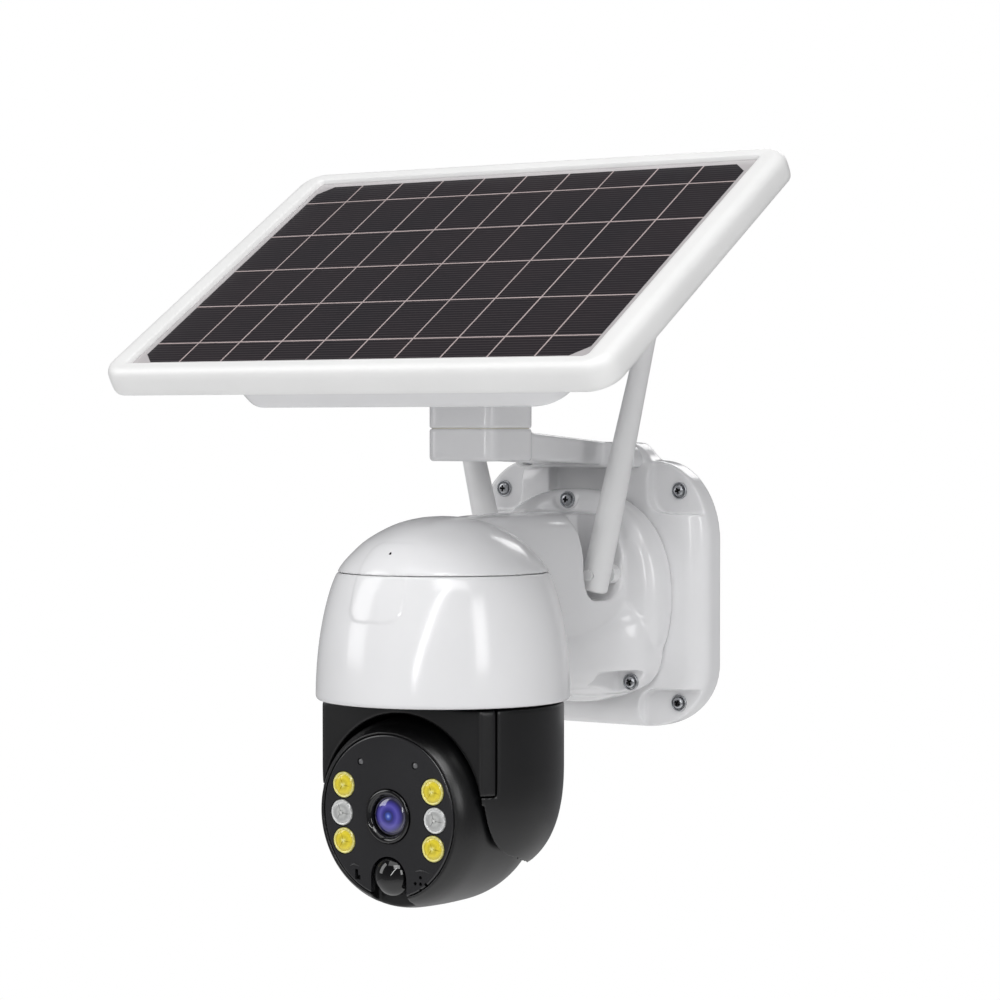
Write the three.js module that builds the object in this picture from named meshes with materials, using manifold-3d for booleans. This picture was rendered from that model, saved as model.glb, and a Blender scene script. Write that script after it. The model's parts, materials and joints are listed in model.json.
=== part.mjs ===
// Solar-powered pan-and-tilt security camera for a wall.
// Millimetres, +Z up. The origin is the centre of the wall plate's back face, the wall is the
// plane Y = 0, the camera looks towards -Y and its right-hand side is +X.

import * as THREE from 'three';
import { mergeVertices } from 'three/addons/utils/BufferGeometryUtils.js';
import { ParametricGeometry } from 'three/addons/geometries/ParametricGeometry.js';
import { ConvexGeometry } from 'three/addons/geometries/ConvexGeometry.js';
import Module from 'manifold-3d';

const wasm = await Module();
wasm.setup();

// ---------------------------------------------------------------- driving dimensions
const gap = 0.3;                 // between pieces that touch
const runGap = 0.6;              // round a piece that turns
const wall = 2.5;                // moulded shells
const rib = 3;                   // ribs and thick floors
const far = 500;                 // beyond the whole object

// head, which is a ball with a flat face
const ballRadius = 45.6;
const faceHalfWidth = ballRadius - 7.6;
const faceReach = ballRadius - 1.3;      // from the tilt axis to the face
const restTilt = 1;              // degrees below the horizon
const maxTilt = 60;
const facePlateThick = 2.4;
const lensBezelRadius = 12.6;
const lensGlassRadius = 9;
const barrelRadius = 8.5;
const ledRadius = 6.2;
const ledX = faceHalfWidth - 12.5;
const ledMiddleX = faceHalfWidth - 11.3;
const ledPitch = 13.1;
const pirRadius = 9.8;
const pirHeight = 7.5;
const pirZ = 9 - faceHalfWidth;
const sensorRadius = 1.5;
const sensorX = 15.6;
const sensorZ = faceHalfWidth - 13.5;
const micX = -18.5;
const micHole = 1.1;
const micRadius = micHole + 0.5;
const micDepth = 3;
const speakerX = 18.2;
const speakerHole = 0.8;
const speakerHolePitch = 3;
const speakerRadius = 9;
const boardThick = 1.6;
const axleRadius = 4;
const tiltMotorRadius = 13;
const tiltMotorInner = 12;
const tiltMotorOuter = 31;

// yoke, which carries the head under the dome
const yokeRadius = ballRadius + runGap + 11.1;
const yokeSeamAngle = 60.6;      // degrees round from the front
const archRadius = ballRadius + gap;

// dome
const domeY = -141.1;            // the pan axis
const domeRadius = yokeRadius + 3.1;
const seamRadius = domeRadius - 10;
const domeTop = 42.9;
const seamZ = 16.4;
const domeRimZ = -43.9;

const yokeTopZ = domeRimZ - runGap;
const tiltZ = yokeTopZ - ballRadius - 4.4;
const yokeShoulderZ = tiltZ + 14.5;
const yokeBottomZ = tiltZ - ballRadius + 16.6;
const yokeSeamZ = tiltZ + 10.2;
const yokeFrontY = domeY - ballRadius + 10.8;

// pan drive
const panFloorZ = domeRimZ + 10.9;       // top of the plate that closes the dome
const panFloorThick = 3;
const hubRadius = 13;
const spigotRadius = hubRadius - 2;
const cableBore = 7;
const gearModule = 1.25;
const panGearTeeth = 36;
const panPinionTeeth = 12;
const gearThick = 5;
const pinionShaftRadius = 2.4;
const panMotorRadius = 14;
const panMotorLength = 20;
const mainBoardRadius = seamRadius - 6.4;

// neck, and the foot that stands on the plate
const neckHalfWidth = 34;
const neckTop = domeTop - 0.4;
const neckBottom = domeRimZ - 3.1;
const footHalfWidth = neckHalfWidth + 17;
const footTop = neckTop + 11.5;
const footBottom = neckBottom - 6;
const footScrewX = footHalfWidth - 13.3;
const footScrews = [
  { name: 'top', x: 0, z: footTop - 5.6 },
  { name: 'left', x: -footScrewX, z: footBottom + 11.2 },
  { name: 'right', x: footScrewX, z: footBottom + 11.2 },
];

// solar arm
const armHalfWidth = 18;
const armFootHalfWidth = 36;
const armFootBottom = footTop + 7;
const armRootBottom = armFootBottom + 4.7;
const armRootTop = armRootBottom + 11.3;
const armHeadY = -110;
const armHeadHalf = 19.5;
const armHeadBottom = armRootBottom + 2.8;
const armHeadTop = armHeadBottom + 15.5;
const armScrewX = armFootHalfWidth - 8;
const armScrewZ = armFootBottom + 9;

// wall plate
const plateHalfWidth = 70;
const plateBottom = footBottom - 13;
const plateShoulder = footTop + 14;      // height of the plate's top corners
const plateTop = armRootTop;     // raised middle, behind the arm's foot
const plateRaiseX = armFootHalfWidth - 12;
const plateLowerTurn = { x: 37, z: 32 };
const plateUpperTurn = { x: 32, z: 40 };
const plateRim = 12;             // straight part of the rim
const plateEdge = 7;             // rounded front edge
const ribPitch = 33;
const centreBossRadius = 12;
const plateScrewX = plateHalfWidth - 17.1;
const plateScrewTop = plateShoulder - 14.9;
const plateScrewLow = plateBottom + 12.9;
const pocketFloorY = -12;
const pocketRadius = 14;
const pocketShift = 4;           // the pocket's centre, outwards from its screw

const plateFrontY = -(plateRim + plateEdge);
const footFrontY = plateFrontY - 18;
const footScrewY = footFrontY + 3.8;
const armRootY = plateFrontY - 9;
const armScrewSeatY = armRootY + 3;

// screws
const screwHead = 4;
const screwHeadThick = 2.4;
const screwRadius = 1.6;
const screwPost = 5;

// panel, in its own frame: origin on the tilt hinge, +Z out of the glass
const swivelTop = armHeadTop + 14;
const hingeZ = swivelTop + 17;
const panelTilt = 32.7;          // degrees, front edge low
const panelShift = -1.7;         // panel centre from the hinge, along the slope
const panelLength = 287;
const panelWidth = 197;
const panelCorner = 13;
const frameAbove = 2.5;          // frame above the glass
const frameBelow = 11.5;
const frameRound = 4;
const glassLength = panelLength - 28;
const glassWidth = panelWidth - 19;
const glassThick = 3.5;
const glassLedge = 5;            // of the frame, under the glass all round
const boxDepth = 38;             // glass to the bottom of the battery box
const glassHeight = boxDepth + 18.9;     // glass above the hinge
const boxTopLength = 206;
const boxTopWidth = glassWidth - 22;
const boxBottomLength = boxTopLength - 22;
const boxBottomWidth = boxTopWidth - 16;
const boxCorner = 16;
const flangeThick = 2.3;
const cellRadius = 9.2;
const cellLength = 65;
const cellPitch = 20;

// hinge and swivel
const hingePinRadius = 3;
const lugHalfWidth = 7.5;
const lugRadius = 9.5;
const lugPad = { x: 22, y: 20, thick: 3 };
const earThick = 7;
const earRadius = 11;
const swivelPinRadius = 4;
const swivelHeadRadius = 7;
const swivelHeadThick = 4.5;
const nutRadius = 5.5;

// antennas, each in a notch behind the neck
const notchFloor = 0;
const antennaX = neckHalfWidth - 4.1;
const notchHalfWidth = antennaX - 11.9;
const antennaY = footFrontY - 15.7;
const antennaZ = notchFloor + 12;        // pivot height
const antennaLean = 13.8;
const antennaBaseRadius = 6.8;
const antennaTipRadius = 4;
const antennaBelow = 8;
const antennaAbove = 142;
const antennaPinRadius = 2;
const socketRadius = 5;
const notchFrontY = antennaY - 17.3;

// round work
const fine = 32;
const hidden = 16;               // insides of large shells
const coarse = 12;
const tiny = 8;

// ---------------------------------------------------------------- helpers
const rad = THREE.MathUtils.degToRad;

function solid(geometry) {
  geometry.deleteAttribute('normal');
  geometry.deleteAttribute('uv');
  const merged = mergeVertices(geometry, 1e-4);
  const index = merged.index.array;
  const kept = [];
  for (let i = 0; i < index.length; i += 3) {
    const [a, b, c] = [index[i], index[i + 1], index[i + 2]];
    if (a !== b && b !== c && c !== a) kept.push(a, b, c);
  }
  return new wasm.Manifold(new wasm.Mesh({
    numProp: 3,
    vertProperties: new Float32Array(merged.attributes.position.array),
    triVerts: new Uint32Array(kept),
  }));
}

function geometryOf(manifold) {
  const mesh = manifold.getMesh();
  const geometry = new THREE.BufferGeometry();
  geometry.setAttribute('position', new THREE.BufferAttribute(mesh.vertProperties, 3));
  geometry.setIndex(new THREE.BufferAttribute(mesh.triVerts, 1));
  const flat = geometry.toNonIndexed();
  flat.computeVertexNormals();
  return flat;
}

const join = (first, ...rest) => rest.reduce((sum, piece) => sum.add(piece), first);
const cut = (first, ...rest) => rest.reduce((left, piece) => left.subtract(piece), first);

// A box given by its low and high corners.
function block([x0, y0, z0], [x1, y1, z1]) {
  const box = new THREE.BoxGeometry(x1 - x0, y1 - y0, z1 - z0);
  return solid(box.translate((x0 + x1) / 2, (y0 + y1) / 2, (z0 + z1) / 2));
}

// A round bar from one end of an axis to the other.
function bar(axis, [x, y, z], low, high, radius, segments = coarse, endRadius = radius) {
  const rod = new THREE.CylinderGeometry(endRadius, radius, high - low, segments);
  rod.translate(0, (low + high) / 2, 0);
  if (axis === 'x') rod.rotateZ(-Math.PI / 2);
  if (axis === 'z') rod.rotateX(Math.PI / 2);
  return solid(rod.translate(x, y, z));
}

// A profile of [radius, height] points turned round a vertical axis.
function turned(profile, [x, y, z], segments) {
  const points = profile.map(([radius, height]) => new THREE.Vector2(radius, height));
  const lathe = new THREE.LatheGeometry(points, segments);
  return solid(lathe.rotateX(Math.PI / 2).translate(x, y, z));
}

// The same, turned round an axis that points to the front (-Y).
function turnedForward(profile, [x, y, z], segments) {
  const points = profile.map(([radius, reach]) => new THREE.Vector2(radius, reach));
  const lathe = new THREE.LatheGeometry(points, segments);
  return solid(lathe.rotateX(Math.PI).translate(x, y, z));
}

// An outline in X and Z, given thickness towards the front from backY to frontY.
function frontal(outline, backY, frontY, bevel = 0, bevelSegments = 3) {
  const extruded = new THREE.ExtrudeGeometry(outline, {
    depth: backY - frontY - bevel,
    bevelEnabled: bevel > 0,
    bevelThickness: bevel,
    bevelSize: bevel,
    bevelOffset: -bevel,
    bevelSegments,
    curveSegments: 5,
  });
  const raised = solid(extruded.rotateX(Math.PI / 2).translate(0, backY, 0));
  if (bevel === 0) return raised;
  const halfSpace = block([-far, frontY - 1, -far], [far, backY, far]);
  return raised.intersect(halfSpace);
}

// An outline in X and Y, given height from low to high.
function raisedOutline(outline, low, high, bevel = 0, bevelSegments = 1) {
  const extruded = new THREE.ExtrudeGeometry(outline, {
    depth: high - low - 2 * bevel,
    bevelEnabled: bevel > 0,
    bevelThickness: bevel,
    bevelSize: bevel,
    bevelOffset: -bevel,
    bevelSegments,
    curveSegments: 4,
  });
  return solid(extruded.translate(0, 0, low + bevel));
}

function roundedRectangle(length, width, radius, y = 0) {
  const shape = new THREE.Shape();
  const [a, b] = [length / 2 - radius, width / 2 - radius];
  shape.absarc(a, y + b, radius, 0, Math.PI / 2);
  shape.absarc(-a, y + b, radius, Math.PI / 2, Math.PI);
  shape.absarc(-a, y - b, radius, Math.PI, 1.5 * Math.PI);
  shape.absarc(a, y - b, radius, 1.5 * Math.PI, 2 * Math.PI);
  shape.closePath();
  return shape;
}

// A tapered tray: a rounded rectangle that changes size with height.
function tapered(low, high, lowSize, highSize, radius, y) {
  const corners = [];
  for (const [height, [length, width]] of [[low, lowSize], [high, highSize]]) {
    for (const point of roundedRectangle(length, width, radius, y).getPoints(4)) {
      corners.push(new THREE.Vector3(point.x, point.y, height));
    }
  }
  return solid(new ConvexGeometry(corners));
}

// A body lofted along Y through rounded sections { y, halfWidth, top, bottom, squareness }.
function lofted(sections, inset = 0, around = 28) {
  const last = sections.length - 1;
  const point = (u, v, target) => {
    const along = THREE.MathUtils.clamp(v * (last + 2) - 1, 0, last);
    const index = Math.min(Math.floor(along), last - 1);
    const mix = along - index;
    const [a, b] = [sections[index], sections[index + 1]];
    const blend = (key) => THREE.MathUtils.lerp(a[key], b[key], mix);
    const closing = v === 0 || v === 1 ? 0 : 1;
    const power = 2 / blend('squareness');
    const angle = 2 * Math.PI * u;
    const across = Math.sign(Math.cos(angle)) * Math.abs(Math.cos(angle)) ** power;
    const up = Math.sign(Math.sin(angle)) * Math.abs(Math.sin(angle)) ** power;
    const middle = (blend('top') + blend('bottom')) / 2;
    const half = (blend('top') - blend('bottom')) / 2 - inset;
    const x = (blend('halfWidth') - inset) * across * closing;
    target.set(x, blend('y'), middle + half * up * closing);
  };
  return solid(new ParametricGeometry(point, around, last + 2));
}

const colours = {
  whiteAbs: { color: 0xeef0f2, roughness: 0.22, metalness: 0 },
  panelWhite: { color: 0xe6e6e6, roughness: 0.4, metalness: 0 },
  blackAbs: { color: 0x1c1c1e, roughness: 0.35, metalness: 0 },
  facePlate: { color: 0x2b2b2d, roughness: 0.18, metalness: 0 },
  steel: { color: 0xb9bcc0, roughness: 0.3, metalness: 1 },
  board: { color: 0x1f5a38, roughness: 0.6, metalness: 0 },
  cellWrap: { color: 0x2f6ea8, roughness: 0.5, metalness: 0 },
  gearNylon: { color: 0xd8d4c4, roughness: 0.5, metalness: 0 },
  glass: { color: 0x241f2e, roughness: 0.08, metalness: 0 },
  lens: { color: 0x3a3aa8, roughness: 0.05, metalness: 0 },
  yellowLed: { color: 0xe8d32a, roughness: 0.25, metalness: 0 },
  clearLed: { color: 0xb9bab8, roughness: 0.2, metalness: 0 },
  blackGloss: { color: 0x0b0b0c, roughness: 0.08, metalness: 0 },
  sensorGrey: { color: 0x5c5c5e, roughness: 0.3, metalness: 0 },
};

function part(group, name, look, manifold) {
  const mesh = new THREE.Mesh(geometryOf(manifold), new THREE.MeshStandardMaterial(colours[look]));
  mesh.name = name;
  group.add(mesh);
  return mesh;
}

// ---------------------------------------------------------------- fasteners
// A pan-head screw along Y, its head's underside on seatY.
function screw(x, seatY, z, length = 9) {
  const frontY = seatY - screwHeadThick;
  const head = bar('y', [x, 0, z], frontY, seatY, screwHead * 0.8, tiny, screwHead);
  const shank = bar('y', [x, 0, z], seatY - 0.2, seatY + length, screwRadius, tiny);
  const slot = screwHead / 8;
  const arm = screwHead * 0.55;
  const floorY = frontY + screwHeadThick / 2;
  const across = block([x - arm, frontY - 1, z - slot], [x + arm, floorY, z + slot]);
  const upright = block([x - slot, frontY - 1, z - arm], [x + slot, floorY, z + arm]);
  return cut(join(head, shank), across, upright);
}

// The hole that such a screw sits in, with its seat lifted by the touching gap.
function screwHole(x, seatY, z, length = 9) {
  const headSpace = bar('y', [x, 0, z], seatY - 40, seatY + gap, screwHead + 2.5 * gap, tiny);
  const shankSpace = bar('y', [x, 0, z], seatY, seatY + length + gap, screwRadius + gap, tiny);
  return join(headSpace, shankSpace);
}

// A spur gear's outline, centred on the origin.
function gearOutline(teeth, turn = 0) {
  const shape = new THREE.Shape();
  const pitch = teeth * gearModule / 2;
  const tip = pitch + 0.8 * gearModule;
  const root = pitch - 1.15 * gearModule;
  const step = 2 * Math.PI / teeth;
  for (let tooth = 0; tooth < teeth; tooth += 1) {
    const middle = tooth * step + turn;
    const flank = [[root, -0.30], [tip, -0.11], [tip, 0.11], [root, 0.30]];
    flank.forEach(([radius, share], corner) => {
      const angle = middle + share * step;
      const place = [radius * Math.cos(angle), radius * Math.sin(angle)];
      if (tooth === 0 && corner === 0) shape.moveTo(...place);
      else shape.lineTo(...place);
    });
  }
  shape.closePath();
  return shape;
}

// ---------------------------------------------------------------- wall plate
function plateOutline(inset = 0) {
  const shape = new THREE.Shape();
  const [halfWidth, bottom, top] = [plateHalfWidth - inset, plateBottom + inset, plateTop - inset];
  const [lowX, lowZ] = [plateLowerTurn.x - inset, plateLowerTurn.z - inset];
  const [highX, highZ] = [plateUpperTurn.x, plateUpperTurn.z - inset];
  const shoulder = plateShoulder - inset;
  const turnX = halfWidth - lowX;
  const middleX = halfWidth - highX;
  const raiseX = plateRaiseX - inset;
  const swing = 7;
  shape.moveTo(turnX, bottom);
  shape.absellipse(turnX, bottom + lowZ, lowX, lowZ, -Math.PI / 2, 0, false);
  shape.absellipse(middleX, shoulder - highZ, highX, highZ, 0, Math.PI / 2, false);
  shape.bezierCurveTo(middleX - 5, shoulder, raiseX + swing, top, raiseX, top);
  shape.lineTo(-raiseX, top);
  shape.bezierCurveTo(-raiseX - swing, top, 5 - middleX, shoulder, -middleX, shoulder);
  shape.absellipse(-middleX, shoulder - highZ, highX, highZ, Math.PI / 2, Math.PI, false);
  shape.absellipse(-turnX, bottom + lowZ, lowX, lowZ, Math.PI, 1.5 * Math.PI, false);
  shape.closePath();
  return shape;
}

const footSections = [
  { y: plateFrontY - gap, halfWidth: footHalfWidth + 1, top: footTop, bottom: footBottom, squareness: 2.5 },
  { y: footFrontY + 6, halfWidth: footHalfWidth, top: footTop - 1, bottom: footBottom + 1, squareness: 2.5 },
  { y: footFrontY, halfWidth: footHalfWidth - 6, top: footTop - 6, bottom: footBottom + 5, squareness: 2.5 },
];

const plateScrews = [[-1, plateScrewTop], [1, plateScrewTop], [-1, plateScrewLow], [1, plateScrewLow]];
const footScrewLength = 22;
const armScrewLength = 14;

function basePlate() {
  const outer = frontal(plateOutline(), 0, plateFrontY, plateEdge, 3);
  const hollow = frontal(plateOutline(rib), 5, plateFrontY + rib, plateEdge - rib, 1);
  const ribFrontY = plateFrontY + rib - 1;
  let ribs = bar('y', [0, 0, 0], ribFrontY, 0, centreBossRadius, coarse);
  for (const place of [-ribPitch, 0, ribPitch]) {
    ribs = join(
      ribs,
      block([place - rib / 2, ribFrontY, plateBottom + 1], [place + rib / 2, 0, plateTop - 1]),
      block([1 - plateHalfWidth, ribFrontY, place - rib / 2], [plateHalfWidth - 1, 0, place + rib / 2]),
    );
  }
  let plate = join(cut(outer, hollow), ribs.intersect(outer));
  for (const [side, z] of plateScrews) {
    const x = side * plateScrewX;
    const [pocketX, pocketZ] = [x + side * pocketShift, z + Math.sign(z) * pocketShift];
    const post = bar('y', [x, 0, z], pocketFloorY, 0, 2 * screwHead, coarse);
    const pocket = bar('y', [pocketX, 0, pocketZ], plateFrontY - 5, pocketFloorY, pocketRadius);
    const floor = bar('y', [pocketX, 0, pocketZ], pocketFloorY, pocketFloorY + rib, pocketRadius + 2);
    plate = join(plate, floor.intersect(outer), post.intersect(outer));
    plate = cut(plate, pocket, screwHole(x, pocketFloorY, z));
  }
  for (const { x, z } of footScrews) {
    plate = join(plate, bar('y', [x, 0, z], plateFrontY + 1, -4, screwPost, tiny));
    plate = cut(plate, screwHole(x, footScrewY, z, footScrewLength + 2));
  }
  for (const x of [-armScrewX, armScrewX]) {
    plate = join(plate, bar('y', [x, 0, armScrewZ], plateFrontY + 1, -6, screwPost, tiny).intersect(outer));
    plate = cut(plate, screwHole(x, armScrewSeatY, armScrewZ, armScrewLength + 2));
  }
  return plate;
}

// ---------------------------------------------------------------- dome, neck and foot
// Points between two sizes, from rows of [share of the way across, share of the way up].
function spread(rows, [startX, endX], [startZ, endZ]) {
  const { lerp } = THREE.MathUtils;
  return rows.map(([across, up]) => [lerp(startX, endX, across), lerp(startZ, endZ, up)]);
}

const capProfile = [
  [seamRadius, seamZ + gap / 2],
  ...spread(
    [[0.956, 0.098], [0.859, 0.298], [0.726, 0.547], [0.571, 0.74], [0.409, 0.883], [0.198, 0.974], [0, 1]],
    [0, seamRadius],
    [seamZ, domeTop],
  ),
];
const skirtProfile = [
  [seamRadius, seamZ - gap / 2],
  ...spread(
    [[0.3, 0.139], [0.6, 0.322], [0.85, 0.554], [0.97, 0.77], [1, 0.902]],
    [seamRadius, domeRadius],
    [seamZ, domeRimZ],
  ),
  [domeRadius - 0.5, domeRimZ + 1.2],
  [domeRadius - 1.8, domeRimZ],
];

const at = (z) => [0, domeY, z];
const shifted = (profile, inset) => profile.map(([radius, z]) => [Math.max(radius - inset, 0), z]);

function capSolid(inset) {
  const lowered = shifted(capProfile, inset).map(([radius, z]) => [radius, z - inset]);
  lowered[0][1] += inset - 5 * Math.sign(inset);
  return turned([[0, lowered[0][1]], ...lowered], at(0), inset > 0 ? hidden : fine);
}

function skirtSolid(inset) {
  const rows = shifted(skirtProfile, inset);
  const [top, bottom] = [rows[0], rows[rows.length - 1]];
  const overrun = 5;
  const longer = [[top[0], top[1] + overrun], ...rows, [bottom[0], bottom[1] - overrun]];
  const ends = inset === 0 ? rows : longer;
  const closed = [[0, ends[ends.length - 1][1]], ...ends.slice().reverse(), [0, ends[0][1]]];
  return turned(closed, at(0), inset > 0 ? hidden : fine);
}

function neckSections() {
  const shared = { top: neckTop, squareness: 4.5 };
  return [
    { ...shared, y: plateFrontY - gap, halfWidth: neckHalfWidth, bottom: neckBottom - 2 },
    { ...shared, y: notchFrontY, halfWidth: neckHalfWidth, bottom: neckBottom },
    { ...shared, y: domeY + 46, halfWidth: neckHalfWidth - 1, bottom: neckBottom + 2 },
    { ...shared, y: domeY + 26, halfWidth: neckHalfWidth - 5, bottom: neckBottom + 27 },
    { ...shared, y: domeY + 8, halfWidth: neckHalfWidth - 12, bottom: neckBottom + 53 },
  ];
}

// The lower flank swells out from the back of the dome to the foot.
function sideFlare(side) {
  const core = 20;
  const rows = [
    { y: domeY + 40, x: neckHalfWidth + 2, top: notchFloor - 4, bottom: neckBottom + 5 },
    { y: notchFrontY + 8, x: neckHalfWidth + 2, top: notchFloor + 2, bottom: neckBottom },
    { y: footFrontY + 5, x: footHalfWidth - 4, top: notchFloor + 10, bottom: footBottom + 5 },
  ];
  const points = rows.flatMap(({ y, x, top, bottom }) => [
    new THREE.Vector3(side * x, y, top - 6),
    new THREE.Vector3(side * x, y, bottom + 4),
    new THREE.Vector3(side * core, y, top),
    new THREE.Vector3(side * core, y, bottom),
  ]);
  return solid(new ConvexGeometry(points));
}

// A block beside the middle, mirrored to the side that is asked for.
function sideBlock(side, [near, far], [backY, frontY], [low, high]) {
  const ends = [side * near, side * far];
  return block([Math.min(...ends), frontY, low], [Math.max(...ends), backY, high]);
}

function neckHousing() {
  const sections = neckSections();
  let body = join(lofted(sections), lofted(footSections), sideFlare(1), sideFlare(-1));
  body = cut(body, skirtSolid(-runGap));
  body = join(body, capSolid(0));

  // the hollow: cap, neck and foot run into each other and open onto the wall plate
  const keepOut = skirtSolid(-runGap - wall);
  const neckRoom = cut(lofted(sections, wall, 12), keepOut);
  const roomX = notchHalfWidth + 12;
  const backRoom = block([-roomX, footFrontY, neckBottom + 7], [roomX, 0, neckTop - 4.5]);
  body = cut(body, capSolid(wall), neckRoom, backRoom);

  // notches that the antennas stand in, walled off from the hollow
  const [wallX, outerX, wallTop] = [notchHalfWidth, neckHalfWidth - 1, neckTop - 1];
  const low = notchFloor - wall;
  for (const side of [-1, 1]) {
    const notch = [[wallX, footHalfWidth + 10], [footFrontY - 1, notchFrontY], [notchFloor, neckTop + 20]];
    const innerWall = [[wallX - wall, wallX], [plateFrontY + 5, notchFrontY - wall], [low, wallTop]];
    const frontWall = [[wallX, outerX], [notchFrontY, notchFrontY - wall], [low, wallTop]];
    const floor = [[wallX, outerX], [footFrontY, notchFrontY], [low, notchFloor]];
    body = cut(body, sideBlock(side, ...notch));
    for (const piece of [innerWall, frontWall, floor]) body = join(body, sideBlock(side, ...piece));
    const socket = [side * antennaX, 0, antennaZ];
    body = cut(body, bar('y', socket, socketFrontY, plateFrontY, socketRadius + gap));
  }
  for (const { x, z } of footScrews) {
    const flat = bar('y', [x, 0, z], footFrontY - 43, footScrewY, 2 * screwHead);
    const post = bar('y', [x, 0, z], footScrewY, plateFrontY + 5, screwPost + 0.5);
    const clear = block([-far, -far, z > 0 ? neckTop + 0.5 : -far], [far, 0, far]);
    body = cut(body, flat.intersect(clear));
    body = cut(join(body, post), bar('y', [x, 0, z], -far, 0, screwRadius + gap, tiny));
    body = cut(body, bar('y', [x, 0, z], -far, footScrewY + gap, screwHead + 2 * gap, tiny));
  }
  return cut(body, block([-far, plateFrontY - gap, -far], [far, far, far]));
}

// ---------------------------------------------------------------- dome skirt and pan drive
function domeSkirt() {
  return cut(skirtSolid(0), skirtSolid(wall));
}

const pinionX = (panGearTeeth + panPinionTeeth) * gearModule / 2;
const gearLow = panFloorZ + 1;

function panFloor() {
  const slice = block([-far, -far, panFloorZ - panFloorThick], [far, 0, panFloorZ]);
  const disc = skirtSolid(wall + gap).intersect(slice);
  const bearing = bar('z', at(0), panFloorZ - panFloorThick - 2, panFloorZ, hubRadius + 5);
  const bore = bar('z', at(0), -far, 0, hubRadius + runGap);
  const motorHole = bar('z', [pinionX, domeY, 0], -far, 0, pinionShaftRadius + runGap, tiny);
  return cut(join(disc, bearing), bore, motorHole);
}

function panMotor() {
  const low = gearLow + gearThick + 2;
  const can = bar('z', [pinionX, domeY, 0], low, low + panMotorLength, panMotorRadius);
  const earReach = panMotorRadius + 5;
  const ears = block([pinionX - 4, domeY - earReach, low], [pinionX + 4, domeY + earReach, low + 1.5]);
  return join(can, ears);
}

function panPinion() {
  const shaft = bar('z', [0, 0, 0], gearLow - panFloorThick, gearLow, pinionShaftRadius, tiny);
  const outline = gearOutline(panPinionTeeth, Math.PI / panPinionTeeth);
  return join(raisedOutline(outline, gearLow, gearLow + gearThick), shaft).translate([pinionX, domeY, 0]);
}

function panGear() {
  const blank = raisedOutline(gearOutline(panGearTeeth), gearLow, gearLow + gearThick);
  return cut(blank.translate([0, domeY, 0]), bar('z', at(0), -far, 0, spigotRadius + gap));
}

// ---------------------------------------------------------------- yoke
const yokeProfile = [
  [0, yokeTopZ],
  [yokeRadius - 1, yokeTopZ],
  [yokeRadius, yokeTopZ - 1],
  [yokeRadius, yokeShoulderZ],
  ...spread(
    [[0.976, 0.3], [0.935, 0.529], [0.871, 0.713], [0.791, 0.851], [0.709, 0.943], [0.593, 1]],
    [0, yokeRadius],
    [yokeShoulderZ, yokeBottomZ],
  ),
  [0, yokeBottomZ],
];

const tiltPoint = [0, domeY, tiltZ];

// The room that the head sweeps as it tilts, made larger by extra all round.
function headRoom(extra) {
  const segments = extra > 0 ? hidden : fine;
  const radius = ballRadius + runGap + extra;
  const sphere = [[0, -radius], ...ballArc(radius, segments / 2, false), [0, radius]];
  let room = turnedForward(sphere, tiltPoint, segments);
  for (let tilt = 0; tilt <= maxTilt; tilt += 20) {
    const tunnel = bar('y', [0, 0, 0], -1.6 * ballRadius, 0, archRadius + extra, segments);
    room = join(room, tunnel.rotate([tilt, 0, 0]).translate(tiltPoint));
  }
  return room;
}

function ballArc(radius, steps, half) {
  const points = [];
  const end = half ? 0 : Math.PI / 2;
  for (let step = 1; step < steps; step += 1) {
    const angle = -Math.PI / 2 + (end + Math.PI / 2) * step / steps;
    points.push([radius * Math.cos(angle), radius * Math.sin(angle)]);
  }
  return points;
}

function yokeForm(inset) {
  const profile = yokeProfile.map(([radius, z]) => {
    const height = z - inset * (z > yokeShoulderZ ? 1 : 0);
    return [radius === 0 ? 0 : radius - inset, height];
  });
  const outer = turned(profile.reverse(), at(0), inset > 0 ? hidden : fine);
  return outer.intersect(block([-far, yokeFrontY + inset, -far], [far, 0, far]));
}

// A shell outside, a cradle for the head inside, and a boss for each tilt axle.
function yokeSolid() {
  const form = yokeForm(0);
  const hollow = cut(yokeForm(wall), headRoom(wall + 1));
  const bosses = bar('x', tiltPoint, -far, far, axleRadius + 4).intersect(form);
  return cut(join(cut(form, hollow), bosses), headRoom(0));
}

// The wedge that the front cover takes from the yoke, made larger by extra all round.
function frontWedge(extra) {
  const reach = 1.6 * yokeRadius;
  const angle = rad(yokeSeamAngle);
  const shape = new THREE.Shape();
  shape.moveTo(0, 0);
  shape.lineTo(-reach * Math.sin(angle), -reach * Math.cos(angle));
  shape.lineTo(-reach, -reach);
  shape.lineTo(reach, -reach);
  shape.lineTo(reach * Math.sin(angle), -reach * Math.cos(angle));
  shape.closePath();
  const wedge = raisedOutline(shape, yokeSeamZ - extra, yokeTopZ + 10).translate([0, domeY + 2 * extra, 0]);
  const core = bar('z', at(0), -far, 0, yokeRadius - 27.3 - extra, fine);
  return cut(wedge, core);
}

const axleReach = ballRadius + 6.9;

function yokeBody() {
  let body = cut(yokeSolid(), frontWedge(gap));
  const hub = bar('z', at(0), yokeTopZ - 1, panFloorZ + 0.5, hubRadius);
  const spigot = bar('z', at(0), yokeTopZ - 1, gearLow + gearThick, spigotRadius);
  body = join(body, hub, spigot);
  body = cut(body, bar('z', at(0), yokeTopZ - 12, 0, cableBore));
  const socket = bar('x', tiltPoint, -axleReach - gap, axleReach + gap, axleRadius + gap);
  return cut(body, socket);
}

function yokeFront() {
  return yokeSolid().intersect(frontWedge(0));
}

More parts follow.
